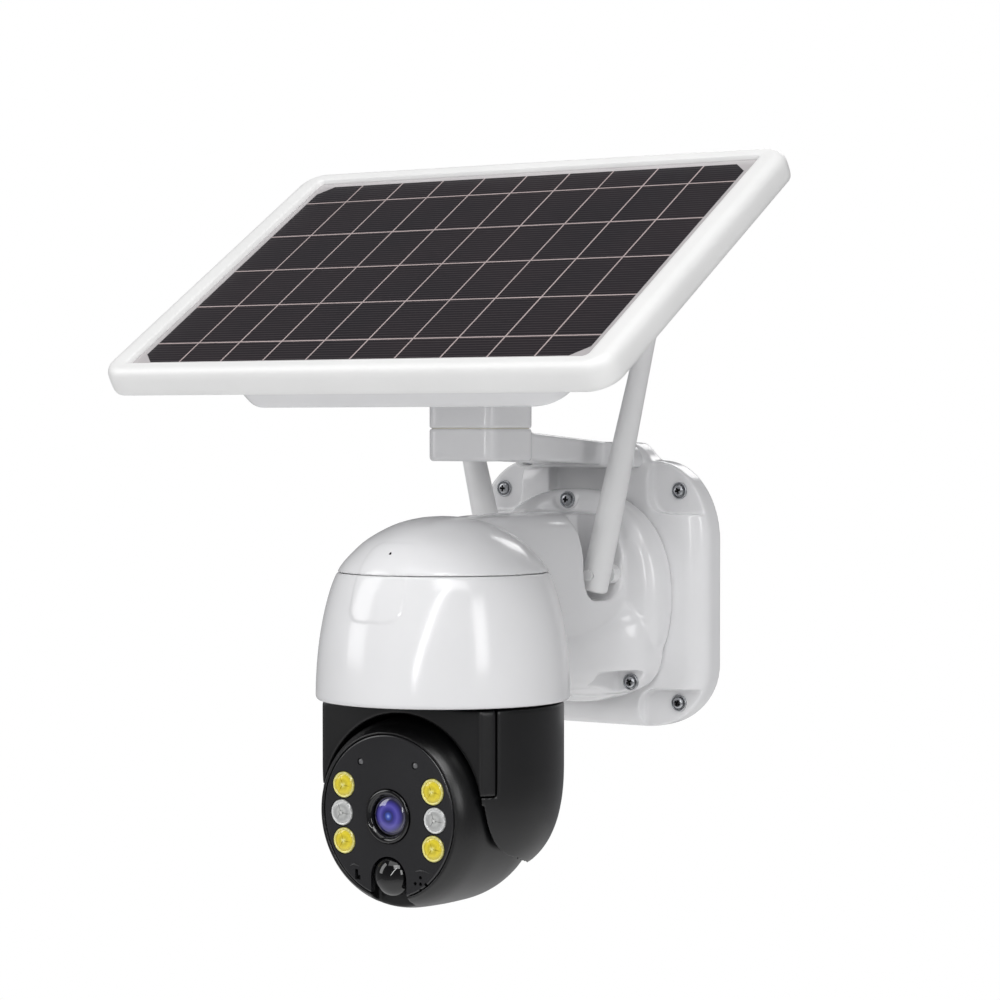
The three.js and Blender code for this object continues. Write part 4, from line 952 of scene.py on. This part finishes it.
class SOLARCAM_OT_head(bpy.types.Operator):
    """Builds the head's shell and the dark face plate with its openings"""

    bl_idname = "solarcam.head"
    bl_label = "Head shell and face"

    def execute(self, context):
        settings = context.scene.solarcam_head
        angles = [math.pi / 2 * i / 24 for i in range(24)]
        back = [(HEAD_BALL * math.sin(angle), -HEAD_BALL * math.cos(angle)) for angle in angles]
        front = [tuple(p) for p in smooth_rows(HEAD_ROWS, 5)]
        shell = spun("head_skin", back + front + [(0, 44.3)], HEAD_FRAME @ FORWARD, 160)
        recess = prism("recess", face_outline(-0.3), FACE + 2.6, FACE - 9, HEAD_FRAME)
        pir = in_head("pir_dome")
        tray = peg(10.4, FACE - 9, FACE + 7, 0, pir.z)
        chute = brick("chute", (-10.4, FACE - 9, -60), (10.4, FACE + 7, pir.z), place=HEAD_FRAME)
        boolean(shell, [recess, tray, chute], "DIFFERENCE")
        skin(shell, settings.voxel, 3)
        finish_piece(shell, "head", "head_black", ["head_shell"], 180)
        self.face(settings, pir)
        return {"FINISHED"}

    def face(self, settings, pir):
        rows = [(0, FACE + 2.3), (0, FACE + 0.9), (0.12, FACE + 0.45), (0.45, FACE + 0.12), (0.9, FACE),
                (3.0, FACE)]
        plate = body_of_rings("face_cover", frontal_rings(face_outline(), rows), HEAD_FRAME)
        cuts = [peg(12.95, FACE - 5, FACE + 5, 0, 0, 96), peg(10.2, FACE - 5, FACE + 5, 0, pir.z, 96)]
        cuts.append(brick("chute", (-10.2, FACE - 5, -60), (10.2, FACE + 5, pir.z), place=HEAD_FRAME))
        for i in range(1, 7):
            lamp = in_head(f"led_lens_{i}")
            cuts.append(peg(6.5, FACE - 5, FACE + 5, lamp.x, lamp.z))
        for i in (1, 2):
            sensor = in_head(f"light_sensor_{i}")
            cuts.append(peg(1.7, FACE - 5, FACE + 5, sensor.x, sensor.z, 32))
        mic = in_head("microphone")
        for (x0, z0), (x1, z1) in (((-0.9, 0.2), (0.9, 3.0)), ((-0.9, -1.8), (2.2, 0.3))):
            low, high = (mic.x + x0, FACE - 5, mic.z + z0), (mic.x + x1, FACE + 5, mic.z + z1)
            cuts.append(brick("mic_hole", low, high, 0.3, place=HEAD_FRAME))
        for dx, dz in ((0, 0), (3, 0), (-3, 0), (0, 3), (0, -3)):
            cuts.append(peg(0.85, FACE - 5, FACE + 5, 18.2 + dx, -30 + dz, 24))
        boolean(plate, cuts, "DIFFERENCE")
        rounding = plate.modifiers.new("rounding", "BEVEL")
        rounding.width = 0.35 * MM
        rounding.segments = 3
        rounding.angle_limit = math.radians(50)
        settle(plate)
        finish_piece(plate, "head", "face_black", ["face_plate"], 35)
        for face in plate.data.polygons:
            face.use_smooth = abs(face.normal.y) < 0.999
        for name, x, z, length in (("mic_brow", mic.x - 1.0, mic.z + 4.2, 6.0), ("speaker_brow", 19.2, -24.6, 8.4)):
            self.brow(name, x, z, length)

    def brow(self, name, x, z, length):
        """A thin raised crescent over the microphone or the speaker."""
        rings = []
        for i in range(17):
            t = i / 8 - 1
            radius = 0.42 * math.sqrt(max(1 - t * t, 0.02))
            centre = Vector((x + t * length / 2, FACE - 0.05, z + 1.0 * (1 - t * t)))
            ring = []
            for k in range(12):
                angle = 2 * math.pi * k / 12
                ring.append(centre + Vector((0, math.cos(angle) * radius, math.sin(angle) * radius)))
            rings.append(ring)
        bead = body_of_rings(name, rings, HEAD_FRAME)
        finish_piece(bead, "head", "face_black", smooth_angle=180)


class SOLARCAM_OT_optics(bpy.types.Operator):
    """Builds the lens with its bezel, the six lamps, the motion sensor's dome and the light sensors"""

    bl_idname = "solarcam.optics"
    bl_label = "Lens, lamps and sensors"

    def execute(self, context):
        self.lens()
        for i in range(1, 7):
            self.lamp(f"led_lens_{i}")
        self.motion_dome()
        for i in (1, 2):
            place = in_head(f"light_sensor_{i}")
            window = spun(f"light_window_{i}", softened([(0, -4.0), (1.5, -4.0), (1.5, -0.5), (0, -0.05)], 0.5),
                          head_place(place.x, FACE, place.z), 32)
            finish_piece(window, "head", "sensor_grey", [f"light_sensor_{i}"], 60)
        return {"FINISHED"}

    def lens(self):
        place = head_place(0, FACE, 0)
        rim = softened([(12.5, -7.5), (12.5, 0.9), (11.4, 1.3), (10.6, 0.9), (9.6, -0.2), (9.3, -2.8), (8.0, -3.4),
                        (8.0, -7.5)], 0.5, closed=True)
        bezel = spun("lens_bezel_ring", rim, place, 128, ring=True)
        finish_piece(bezel, "head", "gloss_black", ["lens_bezel"], 60)
        dish = [(0, -4.2), (8.9, -4.2), (8.9, -2.2)]
        dish += [(8.9 * c, -2.2 + 2.0 * s) for c, s in quarter_turn(12, 1)]
        glass = spun("lens_front_element", dish, HEAD_FRAME @ Matrix.Translation((0, FACE * MM, 0)) @ FORWARD, 96)
        glass.data.transform(FORWARD)
        glass.matrix_world = HEAD_FRAME @ Matrix.Translation((0, FACE * MM, 0))
        finish_piece(glass, "head", "lens_glass", ["lens_glass"], 60)
        for i, (radius, level) in enumerate(((10.3, 0.75), (9.55, -0.6))):
            line = spun(f"lens_ring_{i + 1}", softened([(radius, level - 0.3), (radius + 0.35, level - 0.3),
                        (radius + 0.35, level), (radius, level)], 0.1, True), place, 96, ring=True)
            finish_piece(line, "head", "head_black")

    def lamp(self, node):
        centre = in_head(node)
        clear = abs(centre.z) < 4
        dome = softened([(0, -5.0), (4.8, -5.0), (LAMP_RADIUS, -2.0), (LAMP_RADIUS, 0.1), (5.7, 0.55), (5.2, 0.35),
                         (4.95, 0.1)], 0.25)
        dome += [(4.9 * c, 0.1 + 0.75 * s) for c, s in quarter_turn(8, 1)]
        body = spun(f"{node}_cap", dome, head_place(centre.x, FACE, centre.z), 64)
        cuts = []
        for turn in range(3):
            blade = brick("blade", (-0.22, 0.6, 0.35), (0.22, 4.5, 3.0))
            blade.matrix_world = body.matrix_world @ Matrix.Rotation(2 * math.pi * turn / 3 + 0.4, 4, "Z")
            cuts.append(blade)
        boolean(body, cuts, "DIFFERENCE")
        finish_piece(body, "head", "led_clear" if clear else "led_yellow", [node])

    def motion_dome(self):
        centre = in_head("pir_dome")
        rings = []
        for wide, deep in quarter_turn(24):
            oval = superellipse(9.6 * wide + 0.01, 9.8 * wide + 0.01, 2.0)
            rings.append([(x, y, -4.9 + 9.2 * deep) for x, y in oval])
        foot = [(x, y, -6.5) for x, y in superellipse(9.6, 9.8, 2.0)]
        dome = body_of_rings("motion_dome", [foot] + rings, head_place(centre.x, FACE, centre.z + 1.0))
        finish_piece(dome, "head", "gloss_black", ["pir_dome"], 60)


# ---------------------------------------------------------------- arm, swivel and antennas

ARM_LOW, ARM_HIGH = 68.5, 84.0
BLOCK_OUTLINE = rounded_rectangle(39, 39, 6.5, ARM_Y)


class SOLARCAM_OT_arm(bpy.types.Operator):
    """Builds the arm with its foot and head, and the swivel that stands on it"""

    bl_idname = "solarcam.arm"
    bl_label = "Solar arm and swivel"

    def execute(self, context):
        side = [(-20.0, 65.7), (ARM_Y + 6, ARM_LOW + 0.6), (ARM_Y + 6, 83.2), (-20.0, 77.2)]
        middle_z = 74.6
        rings = []
        for x, pull in ((-18.0, 1.6), (-17.5, 0.5), (-16.4, 0.0), (16.4, 0.0), (17.5, 0.5), (18.0, 1.6)):
            rings.append([(x, y, z + math.copysign(pull, middle_z - z)) for y, z in side])
        arm = body_of_rings("solar_arm_bar", rings)
        block = slab("block", BLOCK_OUTLINE, ARM_LOW, ARM_HIGH, 0.6, low_edge=1.6)
        foot_outline = softened([(-36, 64.5), (36, 64.5), (36, 71), (30, 77.4), (-30, 77.4), (-36, 71)], 4, True)
        foot = body_of_rings("foot", [[(x, y, z) for x, z in inset(foot_outline, d)]
                                      for d, y in ((0, -19.4), (0, -26.6), (0.5, -27.7), (1.4, -28.2))])
        boolean(arm, [block, foot], "UNION")
        cuts = []
        for where in ("left", "right"):
            x, _, z = middle(f"arm_screw_{where}")
            cuts.append(cylinder("hole", 4.8, 25, 60, facing(x, 0, z)))
        boolean(arm, cuts, "DIFFERENCE")
        skin(arm, 0.7 * MM, 4)
        finish_piece(arm, "housing", "white_abs", ["solar_arm"], 180)
        self.swivel()
        return {"FINISHED"}

    def swivel(self):
        base = slab("swivel_clevis", BLOCK_OUTLINE, ARM_HIGH + 0.35, 98, 0.8, low_edge=0.5)
        ears = []
        for side in (-1, 1):
            low, high = sorted((side * 7.8, side * 14.8))
            outline = [(ARM_Y - 11, 95.0), (ARM_Y + 11, 95.0)]
            for i in range(25):
                angle = math.pi * i / 24
                outline.append((ARM_Y + 11 * math.cos(angle), 115 + 11 * math.sin(angle)))
            ears.append(body_of_rings("ear", [[(x, y, z) for y, z in outline] for x in (low, high)]))
        boolean(base, ears, "UNION")
        pit = cylinder("pit", 7.2, 94, 104, Matrix.Translation((0, ARM_Y * MM, 0)))
        turn = Matrix.Translation(HINGE_AXIS) @ Matrix.Rotation(math.pi / 2, 4, "Y")
        bore = cylinder("bore", 3.3, -40, 40, turn)
        boolean(base, [pit, bore], "DIFFERENCE")
        skin(base, 0.7 * MM, 4)
        finish_piece(base, "panel_swivel", "white_abs", ["panel_swivel"], 180)
        washer = slab("swivel_washer", rounded_rectangle(37, 37, 5.8, ARM_Y), ARM_HIGH - 0.3, ARM_HIGH + 0.9)
        finish_piece(washer, "panel_swivel", "nylon")


class SOLARCAM_OT_antennas(bpy.types.Operator):
    """Builds the two tapered antennas"""

    bl_idname = "solarcam.antennas"
    bl_label = "Antennas"

    def execute(self, context):
        rows = [(6.75, -7.2), (6.8, 0.0), (6.75, 12.0), (6.45, 34.0), (5.85, 62.0), (5.05, 98.0), (4.5, 126.0),
                (4.1, 136.0)]
        shaft = [tuple(p) for p in smooth_rows(rows, 5)]
        profile = softened([(0, -8.0), (6.0, -8.0), shaft[0]], 0.8)[:-1] + shaft
        profile += [(4.1 * c, 136.0 + 5.6 * s) for c, s in quarter_turn(10, 1)]
        for side, name in ((-1, "left"), (1, "right")):
            place = JOINT_PLACES[f"antenna_{name}_fold"]
            lean = Matrix.Translation(place) @ Matrix.Rotation(side * math.radians(13.8), 4, "Y")
            rod = spun(f"antenna_{name}_sleeve", profile, lean, 64)
            eye = cylinder("eye", 2.3, -20, 20, lean @ FORWARD, 32)
            boolean(rod, [eye], "DIFFERENCE")
            finish_piece(rod, f"antenna_{name}", "antenna_white", [f"antenna_{name}"], 35)
        return {"FINISHED"}


# ---------------------------------------------------------------- panel (in its own frame, origin on the hinge)

GLASS = 56.9
PANEL_Y = -1.7
FRAME_TOP = GLASS + 2.5
FRAME_LOW = GLASS - 11.5
BOX_LOW = GLASS - 38.0
LEDGE = GLASS - 3.9                                 # where the rail carries the glass
RAIL_WIDTH = 13.7
GLASS_HALF_X, GLASS_HALF_Y = 129.5, 89.0
RIBBON_HALF = 0.45
CELL, RIBBON, BACKSHEET, GAP = range(4)             # kinds of strip; the first three are also material slots


class SOLARCAM_OT_panel(bpy.types.Operator):
    """Builds the panel's frame, its glass with the cells behind it, and the battery box"""

    bl_idname = "solarcam.panel"
    bl_label = "Solar panel"

    def execute(self, context):
        settings = context.scene.solarcam_panel
        self.frame()
        self.glass(settings)
        self.box()
        return {"FINISHED"}

    def frame(self):
        # rail section as [inset from the outside, height]: a soft outer bull nose and a small step to the glass
        section = [(2.2, FRAME_LOW), (0.7, FRAME_LOW + 0.7), (0.05, FRAME_LOW + 2.6), (0.0, FRAME_LOW + 6.0),
                   (0.25, FRAME_TOP - 4.4), (1.1, FRAME_TOP - 2.2), (2.6, FRAME_TOP - 0.8), (4.8, FRAME_TOP - 0.1),
                   (7.0, FRAME_TOP), (12.6, FRAME_TOP - 0.25)]
        section = [tuple(p) for p in smooth_rows(section, 3)]
        section += softened([(13.1, FRAME_TOP - 0.6), (RAIL_WIDTH, GLASS - 0.1), (RAIL_WIDTH, LEDGE)], 0.3)
        outer = rounded_rectangle(287, 197, 13, PANEL_Y, 14)
        inner = rounded_rectangle(259.6, 178.6, 2.5, PANEL_Y, 14)
        rings = []
        for distance, height in section:
            share = min(distance / RAIL_WIDTH, 1.0)
            rings.append([(ox * (1 - share) + ix * share, oy * (1 - share) + iy * share, height)
                          for (ox, oy), (ix, iy) in zip(outer, inner)])
        opening = rounded_rectangle(249, 168, 3, PANEL_Y, 14)
        rings += [[(x, y, height) for x, y in opening] for height in (LEDGE, FRAME_LOW)]
        rail = body_of_rings("panel_rail", rings + [rings[0]], PANEL_FRAME, lids=False)
        finish_piece(rail, "panel", "panel_frame_white", ["panel_frame"])

    def glass(self, settings):
        """One flat sheet whose faces are cell, gap, ribbon or backsheet."""
        pitch, line = settings.pitch / MM, settings.gap / MM
        columns, ribbons = settings.columns, settings.ribbons
        half_x = columns * pitch / 2
        half_y = ribbons * settings.ribbon_pitch / MM / 2
        xs = [(-GLASS_HALF_X, BACKSHEET), (-half_x, CELL)]
        for i in range(1, columns):
            edge = -half_x + i * pitch
            xs += [(edge - line / 2, GAP), (edge + line / 2, CELL)]
        xs += [(half_x, BACKSHEET), (GLASS_HALF_X, None)]
        ys = [(-GLASS_HALF_Y, BACKSHEET), (-half_y, CELL)]
        for i in range(ribbons):
            row = -half_y + (i + 0.5) * settings.ribbon_pitch / MM
            ys += [(row - RIBBON_HALF, RIBBON), (row + RIBBON_HALF, CELL)]
        ys += [(half_y, BACKSHEET), (GLASS_HALF_Y, None)]
        mesh = bpy.data.meshes.new("solar_glass")
        vertices = [Vector((x, y + PANEL_Y, z)) * MM for z in (GLASS, GLASS - 3.4) for y, _ in ys for x, _ in xs]
        wide, tall = len(xs), len(ys)
        faces, kinds = [], []
        for row in range(tall - 1):
            for column in range(wide - 1):
                a = row * wide + column
                faces.append((a, a + 1, a + wide + 1, a + wide))
                faces.append(tuple(reversed([v + wide * tall for v in faces[-1]])))
                here = {xs[column][1], ys[row][1]}
                metal = RIBBON if here & {RIBBON, GAP} else CELL
                kinds += [BACKSHEET if BACKSHEET in here else metal, BACKSHEET]
        edge = list(range(wide)) + [r * wide + wide - 1 for r in range(1, tall)]
        edge += [(tall - 1) * wide + c for c in range(wide - 2, -1, -1)]
        edge += [r * wide for r in range(tall - 2, 0, -1)]
        for a, b in zip(edge, edge[1:] + edge[:1]):
            faces.append((b, a, a + wide * tall, b + wide * tall))
            kinds.append(BACKSHEET)
        chamfer = 7.5
        for sx in (-1, 1):
            for sy in (-1, 1):
                start = len(vertices)
                x, y, z = sx * (half_x + 0.1), sy * (half_y + 0.1), GLASS + 0.04
                for level in (z, z - 0.2):
                    for dx, dy in ((0, 0), (-sx * chamfer, 0), (0, -sy * chamfer)):
                        vertices.append(Vector((x + dx, y + dy + PANEL_Y, level)) * MM)
                top, low = [start, start + 1, start + 2], [start + 3, start + 4, start + 5]
                faces += [tuple(top), tuple(reversed(low))]
                faces += [(top[i], top[(i + 1) % 3], low[(i + 1) % 3], low[i]) for i in range(3)]
                kinds += [BACKSHEET] * 5
        mesh.from_pydata(vertices, [], faces)
        for face, kind in zip(mesh.polygons, kinds):
            face.material_index = kind
        work = bmesh.new()
        work.from_mesh(mesh)
        bmesh.ops.recalc_face_normals(work, faces=work.faces)
        work.to_mesh(mesh)
        work.free()
        sheet = bpy.data.objects.new("solar_glass", mesh)
        sheet.matrix_world = PANEL_FRAME
        bpy.context.scene.collection.objects.link(sheet)
        kept = [face.material_index for face in mesh.polygons]
        more_looks = ["tinned copper ribbon behind glass", "polymer backsheet behind glass"]
        finish_piece(sheet, "panel", "solar_glass", ["solar_laminate"], 30, more_looks)
        for face, kind in zip(mesh.polygons, kept):
            face.material_index = kind

    def box(self):
        """The tapered battery box with its flange."""
        top = FRAME_LOW - 0.3
        rows = [  # length, width, corner, height
            (173.0, 129.0, 10.0, BOX_LOW), (178.6, 134.6, 12.0, BOX_LOW + 0.5), (182.2, 138.2, 14.0, BOX_LOW + 1.9),
            (184.4, 140.3, 15.0, BOX_LOW + 4.2), (188.0, 143.0, 16.0, BOX_LOW + 9.5),
            (195.5, 148.5, 16.5, BOX_LOW + 19.0),
            (203.5, 154.5, 17.0, top - 1.6), (205.0, 155.5, 17.0, top - 0.6), (205.0, 155.5, 17.0, top - 0.4),
        ]
        rings = []
        for length, width, corner, height in smooth_rows(rows, 3):
            rings.append([(x, y, height) for x, y in rounded_rectangle(length, width, corner, PANEL_Y, 12)])
        tray = body_of_rings("battery_case", rings, PANEL_FRAME)
        flange = slab("flange", rounded_rectangle(271, 184, 10, PANEL_Y, 12), top - 2.3, top, 0.2, PANEL_FRAME, 1.0)
        boolean(tray, [flange], "UNION")
        skin(tray, 0.95 * MM, 5)
        finish_piece(tray, "panel", "white_abs", ["battery_box"], 180)


# ---------------------------------------------------------------- stage

class SOLARCAM_OT_materials(bpy.types.Operator):
    """Makes the materials, and gives them to the CAD pieces that stay as they are"""

    bl_idname = "solarcam.materials"
    bl_label = "Materials"

    def execute(self, context):
        scene = context.scene
        casing, head, panel = scene.solarcam_casing, scene.solarcam_head, scene.solarcam_panel
        gloss_white(casing.white)
        sleeve_white(casing.sleeve)
        satin_white(panel.frame)
        silicon(panel.cell)
        satin_black(head.black)
        face_black(head.face)
        coated_lens(head.lens)
        phosphor(head.yellow)
        for make in (polished_black, clear_lamp, bright_steel, natural_nylon, solder_mask, shrink_wrap, grey_window,
                     backsheet, ribbon, painted_recess_shade):
            make()
        for row in frame["record"]["subparts"]:
            mesh = frame["nodes"][row["node"]].data
            mesh.materials.clear()
            mesh.materials.append(bpy.data.materials[SLOT_LOOKS[row["material_slot"]]])
        return {"FINISHED"}


class SOLARCAM_OT_stage(bpy.types.Operator):
    """Sets the floor, the soft studio light and the camera"""

    bl_idname = "solarcam.stage"
    bl_label = "Floor, light and camera"

    def execute(self, context):
        stage = context.scene.solarcam_stage
        self.floor()
        self.world(stage.backdrop)
        # name, place, target, size across and up, lean in degrees, power share
        lamps = [
            ("left_softbox", (-1.35, -1.2, 0.75), (0, -0.12, 0.0), 0.7, 1.5, 0, 0.72),
            ("strip_light", (0.66, -1.62, 0.6), (0, -0.13, 0.0), 0.1, 1.6, -38, 0.5),
            ("side_softbox", (1.75, -0.75, 0.5), (0, -0.1, 0.0), 0.4, 0.8, 0, 0.36),
            ("top_softbox", (0.1, -0.7, 1.7), (0, -0.1, 0.0), 1.6, 1.4, 0, 0.8),
            ("front_fill", (1.3, -1.4, 2.0), (0, -0.08, 0.0), 1.6, 1.0, 0, 1.7),
            ("rim_light", (-0.3, 1.2, 0.9), (0, -0.05, 0.05), 0.8, 0.5, 0, 0.3),
        ]
        for name, place, target, across, up, lean, share in lamps:
            data = bpy.data.lights.new(name, "AREA")
            data.shape = "RECTANGLE"
            data.size, data.size_y = across, up
            data.energy = stage.key * share
            lamp = bpy.data.objects.new(name, data)
            lamp.location = place
            turn = (Vector(place) - Vector(target)).to_track_quat("Z", "Y").to_matrix()
            lamp.rotation_euler = (turn @ Matrix.Rotation(math.radians(lean), 3, "Z")).to_euler()
            context.scene.collection.objects.link(lamp)
        self.camera(context, stage.lens)
        context.scene.view_settings.view_transform = "Standard"
        return {"FINISHED"}

    def floor(self):
        outline = rounded_rectangle(6000, 6000, 200, 0.0)
        floor = slab("studio_floor", outline, -1220, -1200)
        # matt white film over a light table: even, pale and without glare
        material, tree, shader, place = material_base("matt film over a light table")
        grain = add(tree, "ShaderNodeTexNoise", {"Scale": 1 / (4 * MM)}, {"Vector": place})
        tone = ramp(tree, grain.outputs[0], [(0.3, linear("F4F4F4")), (0.7, linear("FAFAFA"))])
        tree.links.new(tone, shader.inputs["Base Color"])
        put(shader, {"Roughness": 0.9, "Emission Color": linear("FFFFFF"), "Emission Strength": 0.36})
        floor.data.materials.append(material)

    def world(self, brightness):
        """White surroundings behind the object, and a dimmer studio, darker overhead, for surfaces to reflect."""
        world = bpy.data.worlds.new("white_cove")
        world.use_nodes = True
        tree = world.node_tree
        tree.nodes.clear()
        place = add(tree, "ShaderNodeTexCoord").outputs["Generated"]
        height = add(tree, "ShaderNodeSeparateXYZ", links={0: place}).outputs["Z"]
        lift = add(tree, "ShaderNodeMapRange", {"From Min": -0.6, "From Max": 0.8}, {"Value": height})
        stops = [(0.0, linear("B8B8BA")), (0.45, linear("7C7C7E")), (1.0, linear("5C5C5E"))]
        studio = ramp(tree, lift.outputs[0], stops)
        room = add(tree, "ShaderNodeBackground", {"Strength": brightness}, {"Color": studio})
        white = add(tree, "ShaderNodeBackground", {"Color": linear("FFFFFF"), "Strength": 1.0})
        seen = add(tree, "ShaderNodeLightPath").outputs["Is Camera Ray"]
        both = add(tree, "ShaderNodeMixShader", links={0: seen, 1: room.outputs[0], 2: white.outputs[0]})
        add(tree, "ShaderNodeOutputWorld", links={"Surface": both.outputs[0]})
        bpy.context.scene.world = world

    def camera(self, context, lens):
        azimuth, elevation = math.radians(34.38), math.radians(1.406)
        back = Vector((math.sin(azimuth) * math.cos(elevation), -math.cos(azimuth) * math.cos(elevation),
                       math.sin(elevation)))
        right = Vector((math.cos(azimuth), math.sin(azimuth), 0))
        up = back.cross(right)
        data = bpy.data.cameras.new("camera")
        data.lens, data.sensor_width = lens, 36.0
        camera = bpy.data.objects.new("camera", data)
        turn = Matrix((right, up, back)).transposed().to_4x4()
        camera.matrix_world = Matrix.Translation((0.8185, -1.2898, 0.0849)) @ turn
        context.scene.collection.objects.link(camera)
        context.scene.camera = camera


class SOLARCAM_PT_sidebar(bpy.types.Panel):
    """Lists the camera's settings and pieces"""

    bl_idname = "SOLARCAM_PT_sidebar"
    bl_label = "Solar Security Camera"
    bl_space_type = "VIEW_3D"
    bl_region_type = "UI"
    bl_category = "Solar Camera"

    def draw(self, context):
        layout = self.layout
        for group in SETTINGS:
            box = layout.box()
            for key in SETTINGS[group].__annotations__:
                box.prop(getattr(context.scene, group), key)
        for operator in OPERATORS:
            layout.operator(operator.bl_idname)


SETTINGS = {
    "solarcam_casing": SOLARCAM_PG_casing,
    "solarcam_head": SOLARCAM_PG_head,
    "solarcam_panel": SOLARCAM_PG_panel,
    "solarcam_stage": SOLARCAM_PG_stage,
}
OPERATORS = [
    SOLARCAM_OT_materials, SOLARCAM_OT_wall_plate, SOLARCAM_OT_screws, SOLARCAM_OT_neck, SOLARCAM_OT_skirt,
    SOLARCAM_OT_yoke, SOLARCAM_OT_head, SOLARCAM_OT_optics, SOLARCAM_OT_arm, SOLARCAM_OT_antennas,
    SOLARCAM_OT_panel, SOLARCAM_OT_stage,
]


def register():
    for group in (*SETTINGS.values(), *OPERATORS, SOLARCAM_PT_sidebar):
        bpy.utils.register_class(group)
    for name, group in SETTINGS.items():
        setattr(bpy.types.Scene, name, PointerProperty(type=group))


def unregister():
    for name in SETTINGS:
        delattr(bpy.types.Scene, name)
    for group in reversed((*SETTINGS.values(), *OPERATORS, SOLARCAM_PT_sidebar)):
        bpy.utils.unregister_class(group)


def main():
    register()
    for operator in OPERATORS:
        space, name = operator.bl_idname.split(".")
        getattr(getattr(bpy.ops, space), name)()


if __name__ == "__main__":
    main()
